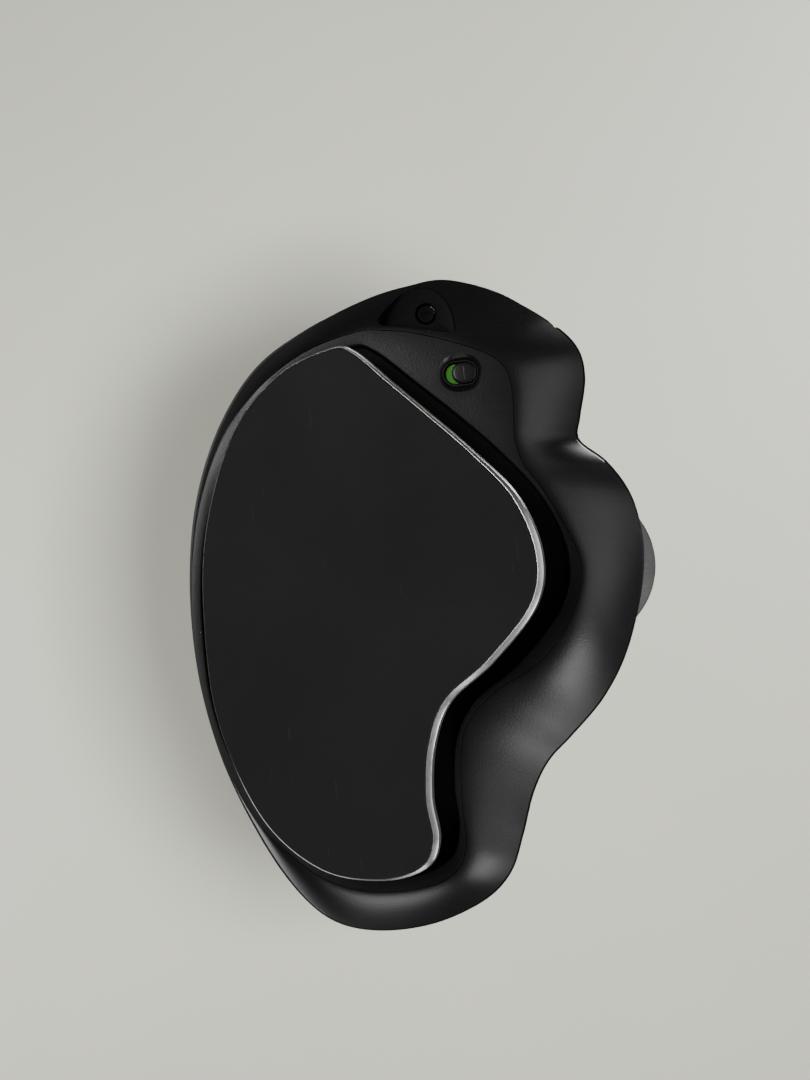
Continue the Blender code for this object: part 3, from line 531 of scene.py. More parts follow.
def skin_panel(name, body, node, keep, seams, level_limit=1.0, spacing=1.0):
    """One panel of the roof: keep says which plan points it holds, seams are its edge loops."""
    x = np.arange(-52.0, 54.0, spacing)
    y = np.arange(-72.0, 72.0, spacing * 0.87)
    grid = np.array([(u + (row % 2) * spacing / 2, v) for row, v in enumerate(y) for u in x])
    limit_loop = POLE + (BELT - POLE) * level_limit
    edges_xy = [even_on_disc(loop, SEAM_STEP) for loop in seams]
    rim = spaced_loop(limit_loop, int(loop_length(limit_loop) / BELT_STEP))
    grid_xy = from_disc(grid)
    good = inside(grid, rim) & keep(grid_xy) & (distance_to(grid, rim) > BELT_CLEAR)
    for loop in seams:
        good &= distance_to(grid_xy, loop) > SEAM_CLEAR
    points = [grid[good]]
    for depth in BELT_ROWS:
        points.append(inside_only(POLE + (rim - POLE) * (1 - depth / 60.0), keep, seams))
    constraints = []
    start = sum(len(block) for block in points)
    for loop in edges_xy:
        for depth in SEAM_ROWS:
            for side in (-1, 1):
                ring = offset_loop(loop, side * depth)
                near = keep(ring) & (distance_to(ring, loop) > depth * 0.9)
                disc = to_disc(ring[near])
                disc = disc[inside(disc, rim)] if len(disc) else disc
                points.append(disc)
                start += len(disc)
        disc = to_disc(loop)
        constraints += loop_edges(start, len(disc))
        points.append(disc)
        start += len(disc)
    constraints += loop_edges(start, len(rim))
    points.append(rim)
    flat = np.vstack([block for block in points if len(block)])
    disc, triangles, _ = triangulated(flat, constraints, 1e-5)
    middle = disc[triangles].mean(axis=1)
    triangles = triangles[inside(middle, rim) & keep(from_disc(middle))]
    used, index = np.unique(triangles, return_inverse=True)
    triangles = index.reshape(-1, 3)
    disc = disc[used]
    plan = from_disc(disc)
    gap = distance_to(disc, rim) if level_limit < 1.0 else np.full(len(disc), FAR)
    for loop in seams:
        gap = np.minimum(gap, distance_to(plan, loop))
    short = PANEL_FILLET - np.clip(gap, 0, PANEL_FILLET)
    sink = PANEL_FILLET - np.sqrt(PANEL_FILLET ** 2 - short ** 2)
    surface, normal = roof_point(disc), roof_normal(disc)
    outer = surface - normal * sink[:, None]
    inner = surface - normal * ROOF_WALL
    total = len(disc)
    faces = [tuple(face) for face in triangles]
    faces += [tuple(total + k for k in face[::-1]) for face in triangles]
    sides = dict.fromkeys(edge for a, b, c in triangles for edge in ((a, b), (b, c), (c, a)))
    faces += [(a, a + total, b + total, b) for a, b in sides if (b, a) not in sides]
    return add_object(name, np.vstack([outer, inner]), faces, body, node, sharp=50.0)


def loop_length(loop):
    return np.linalg.norm(np.roll(loop, -1, axis=0) - loop, axis=1).sum()


def from_disc(disc):
    return roof_point(disc)[:, :2]


def inside_only(disc, keep, seams):
    """The disc points that the panel keeps and that are clear of its seams."""
    plan = from_disc(disc)
    good = keep(plan)
    for loop in seams:
        good &= distance_to(plan, loop) > 0.5
    return disc[good]


def ball_hole():
    """Where the roof meets a sphere a little larger than the ball, as a plan loop."""
    centre = np.array(BALL)
    angle = np.arange(144) * 2 * pi / 144
    rays = np.stack([np.cos(angle), np.sin(angle)], 1)
    low, high = np.zeros(len(rays)), np.full(len(rays), 30.0)
    for _ in range(30):
        middle = (low + high) / 2
        plan = centre[:2] + rays * middle[:, None]
        _, distance, reach = polar(plan)
        within = distance < reach
        gap = np.linalg.norm(roof_point(to_disc(plan)) - centre, axis=1)
        good = within & (gap < BALL_HOLE_R)
        low, high = np.where(good, middle, low), np.where(good, high, middle)
    return centre[:2] + rays * low[:, None]


def polygon_panel(points):
    """A panel outline, half a seam inside its polygon."""
    return rounded_polygon(points, 1.0, -SEAM)


def build_roof():
    """The cover, the keys, the buttons and the console, by piece name."""
    zone = rounded_polygon(KEY_ZONE, 1.2, SEAM)
    hole = ball_hole()
    precision = circle(PRECISION_CENTRE, PRECISION_R + SEAM)
    cover = skin_panel(
        "cover_skin", "mouse_body", "top_cover",
        lambda p: ~inside(p, zone) & ~inside(p, hole) & ~inside(p, precision),
        [zone, hole, precision])
    pieces = {"cover_skin": cover}
    mode = circle(MODE_CENTRE, MODE_R)
    console_holes = [offset_loop(mode, SEAM), circle(LIGHT, LIGHT_R, 20)]
    panels = (
        ("left_key_cap", polygon_panel(LEFT_KEY), "left_key", "left_key", 0.985, 0.8, []),
        ("right_key_cap", polygon_panel(RIGHT_KEY), "right_key", "right_key", 0.985, 0.8, []),
        ("forward_cap", polygon_panel(FORWARD), "forward_button", "forward_button", 1, 0.5, []),
        ("back_cap", polygon_panel(BACK), "back_button", "back_button", 1, 0.5, []),
        ("console_plate", polygon_panel(CONSOLE), "mouse_body", "wheel_console", 1, 0.5,
         console_holes),
        ("mode_cap", offset_loop(mode, -SEAM), "mode_button", "mode_button", 1, 0.5, []),
        ("precision_cap", offset_loop(circle(PRECISION_CENTRE, PRECISION_R), -SEAM),
         "precision_button", "precision_button", 1, 0.5, []))
    for name, loop, body, node, limit, spacing, holes in panels:
        pieces[name] = skin_panel(
            name, body, node,
            lambda p, loop=loop, holes=holes: inside(p, loop) & ~np.any(
                [inside(p, hole) for hole in holes] or [np.zeros(len(p), bool)], axis=0),
            [loop] + holes, limit, spacing)
    return pieces


# ---- casing, plate and pad

def edge_drop(y):
    """Height of the upright edge above the flank: a thin lip, and a tall face at the front."""
    return 0.4 + 4.0 * smooth_step((-y - 56.0) / 8.0)


def under_ring(part, lip=0.0):
    """One ring of the flank between the foot, part 0, and the belt, part 1."""
    belt = offset_loop(AROUND, -PARTING_INSET)
    foot = AROUND[:, 3:5]
    low = foot_height(AROUND[:, 3]) + lip
    high = AROUND[:, 2] - PARTING_GAP - edge_drop(AROUND[:, 1])
    flat = foot + (belt - foot) * part
    return np.column_stack([flat, low + (high - low) * part ** 1.5])


def parting_ring(inset, drop):
    """A ring at the upper edge of the casing, straight above the end of the flank."""
    belt = offset_loop(AROUND, -PARTING_INSET - inset)
    return np.column_stack([belt, AROUND[:, 2] - PARTING_GAP - drop])


def pocket_loop():
    """The pocket wall round the plate, at the gap that each plate point carries."""
    plate = smooth_loop(PLATE_OUTLINE, 20 * len(PLATE_OUTLINE))
    return plate[:, :2] + outward(plate[:, :2]) * plate[:, 2:]


def draped(loop, rise):
    """A loop laid on the plane of the underside, then raised."""
    return np.column_stack([loop, foot_height(loop[:, 0]) + rise])


def build_casing():
    """The whole bottom casing as one skin: flank, lip, front panel, pocket and inner face."""
    outer = [parting_ring(0.1, 0.0), parting_ring(0.02, 0.06), parting_ring(0.0, 0.15)]
    outer += [under_ring(part, FLANK_LIP) for part in np.linspace(1.0, 0.03, 30)]
    foot = AROUND[:, 3:5]
    outer += [draped(offset_loop(foot, grow), rise)
              for grow, rise in ((0.15, 0.28), (0.08, 0.60), (0.0, 0.07), (-0.05, 0.012),
                                 (-0.22, 0.0))]
    pocket = pocket_loop()
    inner = [draped(offset_loop(pocket, grow), rise)
             for grow, rise in ((0.4, 0.0), (0.25, 0.03), (0.12, 0.12), (0.03, 0.25),
                                (0.0, 0.4))]
    inner += [level_ring(pocket, POCKET_FLOOR - 0.4)]
    inner += [level_ring(offset_loop(pocket, -0.15), POCKET_FLOOR - 0.1),
              level_ring(offset_loop(pocket, -0.5), POCKET_FLOOR)]
    inside_rings = [parting_ring(0.2, 0.0), parting_ring(1.6, 0.0)]
    for part in (0.99, 0.85, 0.7, 0.55):
        ring = under_ring(part)
        inside_rings.append(np.column_stack([offset_loop(ring, -WALL_INSET),
                                             np.maximum(ring[:, 2], INNER_FLOOR)]))
    points, faces = [], []

    def strip(rings, flip):
        base = sum(len(block) for block in points)
        count = len(rings[0])
        points.extend(rings)
        faces.extend(face[::-1] if flip else face
                     for face in band_faces(len(rings), count, base))
        return base, base + (len(rings) - 1) * count, count

    def cap(start, count, z):
        number = sum(len(block) for block in points)
        points.append(np.array([[-6.0, 0.0, z]]))
        faces.extend((start + k, start + (k + 1) % count, number) for k in range(count))

    top, foot_start, count = strip(outer, False)
    lip_start, floor_start, pocket_count = strip(inner, False)
    rim, deep, _ = strip(inside_rings, True)
    faces.extend((top + k, rim + k, rim + (k + 1) % count, top + (k + 1) % count)
                 for k in range(count))
    cap(floor_start, pocket_count, POCKET_FLOOR)
    cap(deep, count, INNER_FLOOR)
    ring = np.vstack([outer[-1], inner[0]])
    sides = loop_edges(0, count) + loop_edges(count, pocket_count)
    flat, triangles, source = triangulated(ring[:, :2], sides, 1e-6)
    middle = flat[triangles].mean(axis=1)
    triangles = triangles[inside(middle, outer[-1][:, :2]) & ~inside(middle, inner[0][:, :2])]
    place = [foot_start + k if k < count else lip_start + k - count for k in range(len(ring))]
    faces.extend(tuple(place[source[k]] for k in face) for face in triangles)
    casing = add_object("casing", np.vstack(points), faces, "mouse_body", "bottom_shell")
    trough = [(x, y) for x, y in offset_loop(pocket, -0.05)
              if abs(y) < TROUGH_HALF_LENGTH and x < TROUGH_EDGE]
    trough = sorted(trough, key=lambda point: point[1])
    trough += [(TROUGH_EDGE, TROUGH_HALF_LENGTH), (TROUGH_EDGE, -TROUGH_HALF_LENGTH)]
    tools = [
        prism_cutter("trough", np.array(trough)[::-1], 3.0, 7.8),
        cutter("moon", moon_rings()),
        cutter("switch_well", [level_ring(racetrack(SWITCH_SLOT, length, width), z)
                               for length, width, z in (
                                   (9.7, 8.5, 0.0), (9.1, 7.9, 0.86), (8.8, 7.6, 0.98),
                                   (7.4, 5.3, 1.9), (7.3, 5.1, 2.05))]),
        prism_cutter("switch_slot", racetrack(SWITCH_SLOT, SLIDER_SIZE[0] + SLIDER_TRAVEL + 0.3,
                                              SLIDER_SIZE[1] + 0.4), 1.0, 4.3),
        cutter("front_well", [level_ring(circle(FRONT_SCREW, r), z)
                              for r, z in ((2.3, 6.4), (2.25, 6.62), (2.0, 6.9), (2.0, 8.4))]),
        box_cutter("usb_mouth", (USB_X, -66.0, USB_Z), USB_MOUTH, 0.8),
    ]
    tools += [prism_cutter("screw_well", circle(place, SCREW_WELL_R), 3.0, 12.5)
              for place in INNER_SCREWS]
    apply_cuts(casing, tools)
    return casing


def moon_rings():
    """The front recess: upright walls, and its floor level with the base plane."""
    outline = rounded_polygon(MOON, MOON_CORNER)
    return [level_ring(offset_loop(outline, 0.5), 0.0), level_ring(outline, 4.5),
            level_ring(outline, MOON_FLOOR - 0.3),
            level_ring(offset_loop(outline, -0.1), MOON_FLOOR - 0.08),
            level_ring(offset_loop(outline, -0.3), MOON_FLOOR)]


def box_cutter(name, centre, size, radius):
    """A box along y with its edges along y rounded."""
    loop = rounded_polygon(rectangle(size[0] / 2, size[2] / 2), radius)
    rings = [np.column_stack([centre[0] + loop[:, 0], np.full(len(loop), centre[1] + side),
                              centre[2] + loop[:, 1]])
             for side in (-size[1] / 2, size[1] / 2)]
    return cutter(name, rings)


def build_plate():
    """The steel tray with its bright bevelled rim, and the rubber pad set into it."""
    outline = smooth_loop(PLATE_OUTLINE[:, :2], 20 * len(PLATE_OUTLINE))
    outline = offset_loop(outline, -TRIM)
    out = outward(outline)
    facing = out[:, 0] * cos(RIM_WIDE_TOWARDS) + out[:, 1] * sin(RIM_WIDE_TOWARDS)
    width = RIM_THIN + (RIM_WIDE - RIM_THIN) * smooth_step((facing - 0.22) / 0.65)
    width = sum(np.roll(width, shift) for shift in range(-14, 15)) / 29.0

    def ring(share, z, grow=0.0):
        """Share 0 is the pad's edge and share 1 the outer edge of the rim."""
        points = outline + out * ((share - 1) * width + grow)[:, None]
        return np.column_stack([points, np.broadcast_to(z, len(points))])

    rise = PLATE_BOTTOM + 0.8 * width
    rings = [ring(0.0, 1.25), ring(0.0, PLATE_BOTTOM + 0.06), ring(0.0, PLATE_BOTTOM, 0.04),
             ring(0.12, PLATE_BOTTOM, 0.04), ring(0.3, PLATE_BOTTOM + 0.13 * width),
             ring(0.88, PLATE_BOTTOM + 0.62 * width), ring(0.98, PLATE_BOTTOM + 0.74 * width),
             ring(1.0, rise), ring(1.0, PLATE_TOP - 0.3), ring(1.0, PLATE_TOP - 0.1, -0.06),
             ring(1.0, PLATE_TOP, -0.3)]
    points, faces = loft(rings)
    plate = add_object("plate_tray", points, faces, "tilt_plate", "base_plate", leaning=False,
                       sharp=32.0)
    edge = [(-0.3, 0.9), (0.0, 0.7), (0.0, 0.22), (-0.05, 0.09), (-0.2, 0.01), (-0.4, 0.0)]
    points, faces = loft([ring(0.0, z, grow - 0.05) for grow, z in edge])
    pad = add_object("pad_face", points, faces, "tilt_plate", "rubber_pad", leaning=False)
    return plate, pad


# ---- ball, wheel, slider

def build_ball():
    mesh = bmesh.new()
    bmesh.ops.create_uvsphere(mesh, u_segments=128, v_segments=64, radius=BALL_R)
    points = np.array([tuple(vert.co) for vert in mesh.verts]) + np.array(BALL)
    faces = [tuple(vert.index for vert in face.verts) for face in mesh.faces]
    mesh.free()
    return add_object("ball_sphere", points, faces, "ball", "trackball")


def build_wheel():
    """The ribbed rubber tyre and the dished hub inside it."""
    half = WHEEL_WIDTH / 2
    inner = WHEEL_R - 2.2
    crown = [(WHEEL_R - 0.35 - 0.55 * (k / 5.0) ** 2, k / 5.0 * (half - 1.0))
             for k in range(-5, 6)]
    shoulder = [(inner, 0.7), (WHEEL_R - 1.6, 0.3), (WHEEL_R - 1.1, 0.6)]

    def ribs(shape, angle):
        on_crown = np.clip((shape[:, 0] - (WHEEL_R - 1.3)) / 0.5, 0, 1)
        ridge = 0.5 + 0.5 * cos(44 * angle)
        return shape[:, 0] + on_crown * (0.32 * min(1.0, 1.8 * ridge) - 0.04)

    def both_sides(side, middle=()):
        """The profile of one side, the middle, and the side mirrored."""
        return ([(r, -half + depth) for r, depth in side] + list(middle)
                + [(r, half - depth) for r, depth in reversed(side)])

    tyre = turned("wheel_grip", both_sides(shoulder, crown), WHEEL, (1, 0, 0), "wheel",
                  "wheel_tyre", 352, ribs)
    hub_r = inner - 0.3
    side = [(1.5, 0.2), (3.8, 0.2), (4.3, 0.5), (4.7, 1.1), (hub_r - 1.9, 1.1),
            (hub_r - 1.4, 0.7), (hub_r - 0.3, 0.4), (hub_r, 0.8)]
    hub = turned("wheel_rim", both_sides(side), WHEEL, (1, 0, 0), "wheel", "wheel_hub", 96)
    return tyre, hub


def build_slider():
    """The power knob with one raised rib, and the green floor under its slot."""
    centre = (SWITCH_SLOT[0] + SLIDER_TRAVEL / 2, SWITCH_SLOT[1])
    length, width = SLIDER_SIZE[0] + 0.15, SLIDER_SIZE[1]
    rings = [level_ring(racetrack(centre, length - trim, width - trim), z)
             for trim, z in ((1.3, 1.22), (0.6, 1.26), (0.2, 1.4), (0.0, 1.75), (0.0, 3.15))]
    points, faces = loft(rings)
    rib = rounded_polygon(rectangle(0.2, 1.5), 0.16) + np.array(centre)
    rib_points, rib_faces = loft([level_ring(offset_loop(rib, -0.12), 1.08),
                                  level_ring(rib, 1.16), level_ring(rib, 1.6)])
    shifted = [tuple(k + len(points) for k in face) for face in rib_faces]
    knob = add_object("slider_knob", np.vstack([points, rib_points]), faces + shifted,
                      "power_slider", "power_slider")
    floor = [level_ring(racetrack(SWITCH_SLOT, 6.0, 3.9), z) for z in (3.25, 3.9)]
    points, faces = loft(floor)
    marker = add_object("green_floor", points, faces, "mouse_body", "on_off_marker")
    return knob, marker


# ---- materials

class Shade:
    """A small helper that builds one node material."""

    def __init__(self, name, colour, roughness, metallic=0.0):
        self.material = bpy.data.materials.new(name)
        self.material.use_nodes = True
        self.tree = self.material.node_tree
        self.shader = self.tree.nodes["Principled BSDF"]
        self.shader.inputs["Base Color"].default_value = (*colour, 1.0)
        self.shader.inputs["Roughness"].default_value = roughness
        self.shader.inputs["Metallic"].default_value = metallic
        self.colour = colour
        self.place = self.tree.nodes.new("ShaderNodeTexCoord").outputs["Object"]

    def node(self, kind, **settings):
        made = self.tree.nodes.new(kind)
        for key, value in settings.items():
            if key in made.inputs:
                made.inputs[key].default_value = value
            else:
                setattr(made, key, value)
        return made

    def link(self, source, target):
        self.tree.links.new(source, target)

    def noise(self, scale, detail=3.0, roughness=0.5, stretch=None):
        source = self.place
        if stretch is not None:
            mapping = self.node("ShaderNodeMapping", Scale=stretch)
            self.link(source, mapping.inputs["Vector"])
            source = mapping.outputs["Vector"]
        made = self.node("ShaderNodeTexNoise", Scale=scale, Detail=detail, Roughness=roughness)
        self.link(source, made.inputs["Vector"])
        return made.outputs["Fac"]

    def cells(self, scale):
        made = self.node("ShaderNodeTexVoronoi", Scale=scale)
        self.link(self.place, made.inputs["Vector"])
        return made.outputs["Distance"]

    def ramp(self, source, low, high, from_value=0.0, to_value=1.0):
        """A value remapped from low..high to from_value..to_value, clamped."""
        made = self.node("ShaderNodeMapRange")
        for key, value in (("From Min", low), ("From Max", high), ("To Min", from_value),
                           ("To Max", to_value)):
            made.inputs[key].default_value = value
        self.link(source, made.inputs["Value"])
        return made.outputs["Result"]

    def mix(self, amount, first, second):
        made = self.node("ShaderNodeMix", data_type="RGBA")
        self.link(amount, made.inputs["Factor"])
        for value, socket in ((first, made.inputs["A"]), (second, made.inputs["B"])):
            if isinstance(value, tuple):
                socket.default_value = (*value, 1.0)
            else:
                self.link(value, socket)
        return made.outputs["Result"]

    def dust(self, tone, colour, specks, patches):
        """Small specks in a few patches: a scale, and the limits of its ramp, for each."""
        speck = self.ramp(self.cells(specks[0]), *specks[1:], 1.0, 0.0)
        rare = self.ramp(self.noise(patches[0], 1.0), *patches[1:])
        both = self.node("ShaderNodeMath", operation="MULTIPLY")
        self.link(speck, both.inputs[0])
        self.link(rare, both.inputs[1])
        return self.mix(both.outputs["Value"], tone, colour)

    def bump(self, height, distance, strength):
        made = self.node("ShaderNodeBump", Strength=strength, Distance=distance)
        self.link(height, made.inputs["Height"])
        return made.outputs["Normal"]

    def set(self, **links):
        names = {"colour": "Base Color", "roughness": "Roughness", "normal": "Normal"}
        for key, source in links.items():
            self.link(source, self.shader.inputs[names[key]])
        return self.material


def scaled(colour, factor):
    return tuple(min(channel * factor, 1.0) for channel in colour)


def moulded(name, colour, roughness, depth=0.00004, wear=0.35, specular=0.5):
    """Dark moulded plastic: fine spark-eroded grain, faint cloudiness, hairline wear, dust."""
    shade = Shade(name, colour, roughness)
    cloud = shade.noise(38.0, 4.0)
    tone = shade.mix(shade.ramp(cloud, 0.35, 0.7), scaled(colour, 0.8), scaled(colour, 1.3))
    scratch = shade.noise(90.0, 2.0, 0.6, stretch=(1.0, 14.0, 3.0))
    scuffed = shade.ramp(scratch, 0.62, 0.70, 0.0, wear)
    tone = shade.mix(scuffed, tone, scaled(colour, 2.6))
    tone = shade.dust(tone, (0.32, 0.32, 0.31), (420.0, 0.035, 0.05), (55.0, 0.66, 0.68))
    grain = shade.noise(2600.0, 2.0, 0.6)
    rough = shade.ramp(cloud, 0.3, 0.75, roughness - 0.05, roughness + 0.06)
    normal = shade.bump(grain, depth, 0.7)
    shade.shader.inputs["Specular IOR Level"].default_value = specular
    return shade.set(colour=tone, roughness=rough, normal=normal)


def steel(name, colour, roughness):
    """Machined steel with fine marks along the cut."""
    shade = Shade(name, colour, roughness, 1.0)
    marks = shade.noise(800.0, 2.0, 0.5, stretch=(1.0, 1.0, 6.0))
    rough = shade.ramp(marks, 0.3, 0.7, roughness - 0.03, roughness + 0.04)
    tone = shade.mix(shade.ramp(shade.noise(60.0), 0.4, 0.7), colour, scaled(colour, 0.92))
    return shade.set(colour=tone, roughness=rough,
                     normal=shade.bump(marks, 0.000002, 0.1))


def pad_rubber(name):
    """Matte pad with a very fine grain, a few dust specks and pale scuffs."""
    colour = (0.0195, 0.0195, 0.0198)
    shade = Shade(name, colour, 0.8)
    grain = shade.noise(5200.0, 2.0, 0.6)
    tone = shade.mix(shade.ramp(grain, 0.35, 0.65), scaled(colour, 0.85), scaled(colour, 1.2))
    tone = shade.dust(tone, (0.45, 0.45, 0.44), (260.0, 0.03, 0.045), (45.0, 0.66, 0.67))
    streak = shade.ramp(shade.noise(70.0, 2.0, 0.6, stretch=(12.0, 1.0, 1.0)), 0.70, 0.74, 0, 0.25)
    tone = shade.mix(streak, tone, (0.06, 0.06, 0.06))
    shade.shader.inputs["Specular IOR Level"].default_value = 0.3
    rough = shade.ramp(shade.noise(30.0), 0.3, 0.7, 0.74, 0.88)
    return shade.set(colour=tone, roughness=rough, normal=shade.bump(grain, 0.00002, 0.5))


def speckled_ball(name):
    """Grey pearly resin with fine pale and dark flecks under a clear gloss."""
    shade = Shade(name, (0.12, 0.125, 0.13), 0.16)
    depth = shade.noise(70.0, 3.0)
    tone = shade.mix(shade.ramp(depth, 0.3, 0.7), (0.17, 0.175, 0.175), (0.28, 0.285, 0.28))
    pale = shade.ramp(shade.cells(900.0), 0.12, 0.22, 1.0, 0.0)
    tone = shade.mix(pale, tone, (0.33, 0.34, 0.35))
    dark = shade.ramp(shade.cells(1300.0), 0.1, 0.2, 0.6, 0.0)
    tone = shade.mix(dark, tone, (0.05, 0.05, 0.055))
    shade.shader.inputs["Coat Weight"].default_value = 0.6
    shade.shader.inputs["Coat Roughness"].default_value = 0.05
    rough = shade.ramp(shade.noise(200.0), 0.3, 0.7, 0.14, 0.24)
    return shade.set(colour=tone, roughness=rough)


def plain_detail(name, colour, roughness, metallic=0.0):
    """A simple two-tone material for small inner pieces."""
    shade = Shade(name, colour, roughness, metallic)
    cloud = shade.noise(300.0, 3.0)
    tone = shade.mix(shade.ramp(cloud, 0.35, 0.65), scaled(colour, 0.8), scaled(colour, 1.25))
    rough = shade.ramp(cloud, 0.3, 0.7, max(roughness - 0.05, 0.02), roughness + 0.08)
    return shade.set(colour=tone, roughness=rough, normal=shade.bump(cloud, 0.00001, 0.4))


def dress(piece, material):
    piece.data.materials.clear()
    piece.data.materials.append(material)


def paint_pocket_shade(casing, material):
    """Painted shade for the plate's pocket and the front recess: their faces get a near-black, duller copy of the
    casing plastic.
    """
    casing.data.materials.append(material)
    centres = np.array([tuple(face.center) for face in casing.data.polygons]) / MM
    unlean = np.array(LEAN.inverted())
    centres = centres @ unlean[:3, :3].T + unlean[:3, 3]
    flat, z = centres[:, :2], centres[:, 2]
    wall = offset_loop(pocket_loop(), 0.03)
    recess = offset_loop(rounded_polygon(MOON, MOON_CORNER), -0.02)
    # The faces down in the pocket and in the recess, which take the painted shade.
    deep = (inside(flat, wall) & (z > 1.1) & (z < 4.5)) | (inside(flat, recess) & (z > 0.8))
    for face, in_painted_shade in zip(casing.data.polygons, deep):
        if in_painted_shade:
            face.material_index = 1


# ---- stage

def body_to_world(point):
    return LEAN @ Vector(point) * MM


def body_turn(vector):
    return LEAN.to_3x3() @ Vector(vector)


CAMERA_FOOT = Vector((-0.66, -13.12, 0.0))
CAMERA_DISTANCE = 360.0
CAMERA_LENS = 59.16
IMAGE_UP = Vector((0.1045, -0.9945, 0.0))


def build_camera():
    camera = bpy.data.objects.new("camera", bpy.data.cameras.new("camera"))
    bpy.context.scene.collection.objects.link(camera)
    back = -body_turn((0, 0, 1))
    up = body_turn(IMAGE_UP)
    right = up.cross(back)
    turn = Matrix((right, up, back)).transposed()
    camera.matrix_world = (Matrix.Translation(
        body_to_world(CAMERA_FOOT - Vector((0, 0, CAMERA_DISTANCE)))) @ turn.to_4x4())
    camera.data.lens = CAMERA_LENS
    camera.data.sensor_width = 36.0
    camera.data.clip_start = 0.01
    bpy.context.scene.camera = camera


def paint(name, colour):
    """Matte paint with a very faint unevenness."""
    shade = Shade(name, colour, 0.9)
    tone = shade.mix(shade.ramp(shade.noise(9.0, 2.0), 0.3, 0.7), scaled(colour, 0.97), colour)
    shade.set(colour=tone)
    return shade


def one_sided(name, colour):
    """Pale paint on the upper face only, so that the desk can be looked through from below."""
    shade = paint(name, colour)
    clear = shade.node("ShaderNodeBsdfTransparent")
    side = shade.node("ShaderNodeNewGeometry").outputs["Backfacing"]
    blend = shade.node("ShaderNodeMixShader")
    output = shade.tree.nodes["Material Output"]
    shade.link(side, blend.inputs["Fac"])
    shade.link(shade.shader.outputs["BSDF"], blend.inputs[1])
    shade.link(clear.outputs["BSDF"], blend.inputs[2])
    shade.link(blend.outputs["Shader"], output.inputs["Surface"])
    return shade


def sheet_of(name, corners, material):
    data = bpy.data.meshes.new(name)
    data.from_pydata(corners, [], [(0, 1, 2, 3)])
    data.materials.append(material)
    thing = bpy.data.objects.new(name, data)
    bpy.context.scene.collection.objects.link(thing)
    return thing


def area_light(name, place, target, size, power):
    """A square area light that faces the target, all in world metres."""
    data = bpy.data.lights.new(name, "AREA")
    data.size = size
    data.energy = power
    light = bpy.data.objects.new(name, data)
    light.location = place
    aim = (Vector(target) - Vector(place)).normalized()
    light.rotation_euler = aim.to_track_quat("-Z", "Y").to_euler()
    bpy.context.scene.collection.objects.link(light)
    return light


def board_corners(distance, half_width, half_height):
    """Corners of a board square to the camera's line of sight, behind the body."""
    centre = body_to_world((CAMERA_FOOT.x, CAMERA_FOOT.y, distance))
    return [centre + body_turn((x, y, 0)) for x, y in rectangle(half_width, half_height)]


# Lights round the underside: name, place in the body frame, size in metres, power in watts.
BODY_LIGHTS = (
    ("right_rear", (300, 280, -90), 0.15, 0.45),
    ("right", (345, -10, -95), 0.30, 0.36),
    ("rear", (-40, 360, -130), 0.16, 0.4),
    ("left", (-360, -200, -160), 0.25, 0.2),
    ("near_camera", (-150, -90, -330), 0.14, 0.54),
)
# Lights that stand behind the body and face the backing board.
BOARD_LIGHTS = (
    ("board_left", (-380, 80, 130), 0.25, 0.6),
    ("board_right", (390, -170, 130), 0.25, 1.1),
)
BOARD_DISTANCE = 330.0
DESK_HALF = 1.6


def light_body(board):
    """The lights of the underside, and those of the board that stands behind it."""
    middle = body_to_world((10, 0, 10))
    for name, place, size, power in BODY_LIGHTS:
        area_light(name, body_to_world(place), middle, size, power)
    for name, place, size, power in BOARD_LIGHTS:
        place = body_to_world(place)
        area_light(name, place, place + body_turn((0, 0, 1)), size, power)
    # This one throws the body's soft shadow on the board, and lights nothing else.
    caster = area_light("board_front", body_to_world((52, 4, -400)),
                        body_to_world((0, 0, BOARD_DISTANCE)), 0.06, 5.8)
    lit = bpy.data.collections.new("board_front_lights")
    lit.objects.link(board)
    caster.light_linking.receiver_collection = lit


def build_stage():
    """The desk, the backing board, the world and the lights."""
    desk_paint = one_sided("desk_paint", (0.78, 0.78, 0.76)).material
    floor = sheet_of("desk", [(x, y, 0) for x, y in rectangle(DESK_HALF, DESK_HALF)], desk_paint)
    board = sheet_of("backdrop", board_corners(BOARD_DISTANCE, 0.24, 0.30),
                     paint("backdrop_paint", (0.62, 0.62, 0.53)).material)
    for sheet in (floor, board):
        sheet.visible_shadow = False
        sheet.visible_diffuse = False
        sheet.visible_glossy = False
    world = bpy.data.worlds.new("world")
    bpy.context.scene.world = world
    world.use_nodes = True
    world.node_tree.nodes["Background"].inputs["Color"].default_value = (0.86, 0.87, 0.85, 1)
    world.node_tree.nodes["Background"].inputs["Strength"].default_value = 0.07
    light_body(board)
    area_light("top_key", (0.1, -0.55, 0.85), (0, 0, 0.03), 0.5, 5.0)
    area_light("top_fill", (-0.6, 0.5, 0.7), (0, 0, 0.03), 0.7, 2.0)


# ---- build

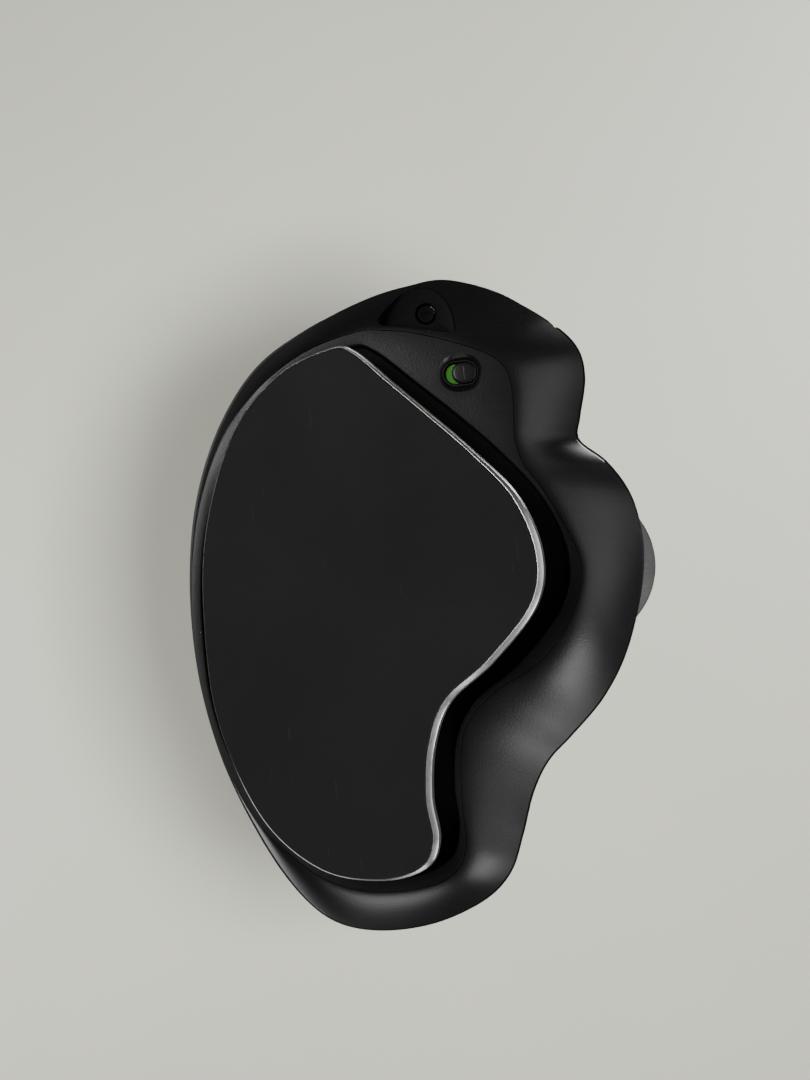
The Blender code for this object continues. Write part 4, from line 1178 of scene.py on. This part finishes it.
INNER_LOOKS = {
    "dark_steel": ("dark_fixing", (0.012, 0.012, 0.013), 0.2, 0.3),
    "plate_steel": ("bright_fixing", (0.6, 0.6, 0.59), 0.28, 1.0),
    "frame_plastic": ("frame_grey", (0.05, 0.05, 0.055), 0.5, 0.0),
    "switch_plastic": ("switch_black", (0.02, 0.02, 0.022), 0.4, 0.0),
    "circuit_board": ("solder_mask", (0.008, 0.06, 0.025), 0.4, 0.0),
    "battery_wrap": ("battery_foil", (0.45, 0.46, 0.48), 0.35, 0.0),
    "cable_film": ("cable_amber", (0.35, 0.2, 0.05), 0.3, 0.0),
    "bead": ("bead_white", (0.75, 0.75, 0.72), 0.12, 0.0),
    "lens": ("lens_clear", (0.5, 0.53, 0.55), 0.06, 0.0),
}


def main():
    build_camera()
    build_stage()
    casing = build_casing()
    plate, pad = build_plate()
    roof = build_roof()
    ball = build_ball()
    tyre, hub = build_wheel()
    knob, marker = build_slider()
    keys = [roof[name] for name in ("left_key_cap", "right_key_cap")]
    buttons = [roof[name] for name in ("forward_cap", "back_cap", "mode_cap", "precision_cap")]
    looks = (
        ([casing], "casing_plastic", moulded("casing_plastic", (0.0095, 0.0095, 0.010), 0.36,
                                             depth=0.00005)),
        ([plate], "plate_steel", steel("rim_steel", (0.8, 0.8, 0.78), 0.3)),
        ([pad], "pad_rubber", pad_rubber("pad_rubber")),
        ([roof["cover_skin"]], "cover_plastic",
         moulded("cover_plastic", (0.0125, 0.0125, 0.013), 0.42)),
        (keys, "key_plastic", moulded("key_plastic", (0.014, 0.014, 0.0145), 0.36)),
        (buttons, "button_plastic", moulded("button_plastic", (0.035, 0.035, 0.037), 0.3,
                                            depth=0.000008, wear=0.1)),
        ([roof["console_plate"]], "frame_plastic",
         moulded("console_plastic", (0.03, 0.03, 0.032), 0.3)),
        ([ball], "ball", speckled_ball("ball_resin")),
        ([tyre], "wheel_rubber", moulded("wheel_rubber", (0.016, 0.016, 0.016), 0.65, wear=0.1)),
        ([hub], "hub_metal", steel("hub_metal", (0.4, 0.4, 0.4), 0.25)),
        ([knob], "casing_plastic", moulded("knob_plastic", (0.011, 0.011, 0.012), 0.35,
                                           wear=0.2)),
        ([marker], "green_marker", plain_detail("green_plastic", (0.07, 0.42, 0.02), 0.45)),
    )
    for pieces, slot, material in looks:
        for piece in pieces:
            dress(piece, material)
    # Painted shade: a near-black copy of the moulded plastic, with its faint wear and dust, stands in for the
    # shadow in the pocket and the recess.
    paint_pocket_shade(casing, moulded("pocket_painted_shade", (0.004, 0.004, 0.0042), 0.6, wear=0.05,
                                 specular=0.2))
    inner = {slot: plain_detail(*look) for slot, look in INNER_LOOKS.items()}
    slot_of = {part["node"]: part["material_slot"] for part in frame["record"]["subparts"]}
    for node, thing in frame["nodes"].items():
        if slot_of[node] in inner:
            dress(thing, inner[slot_of[node]])


main()
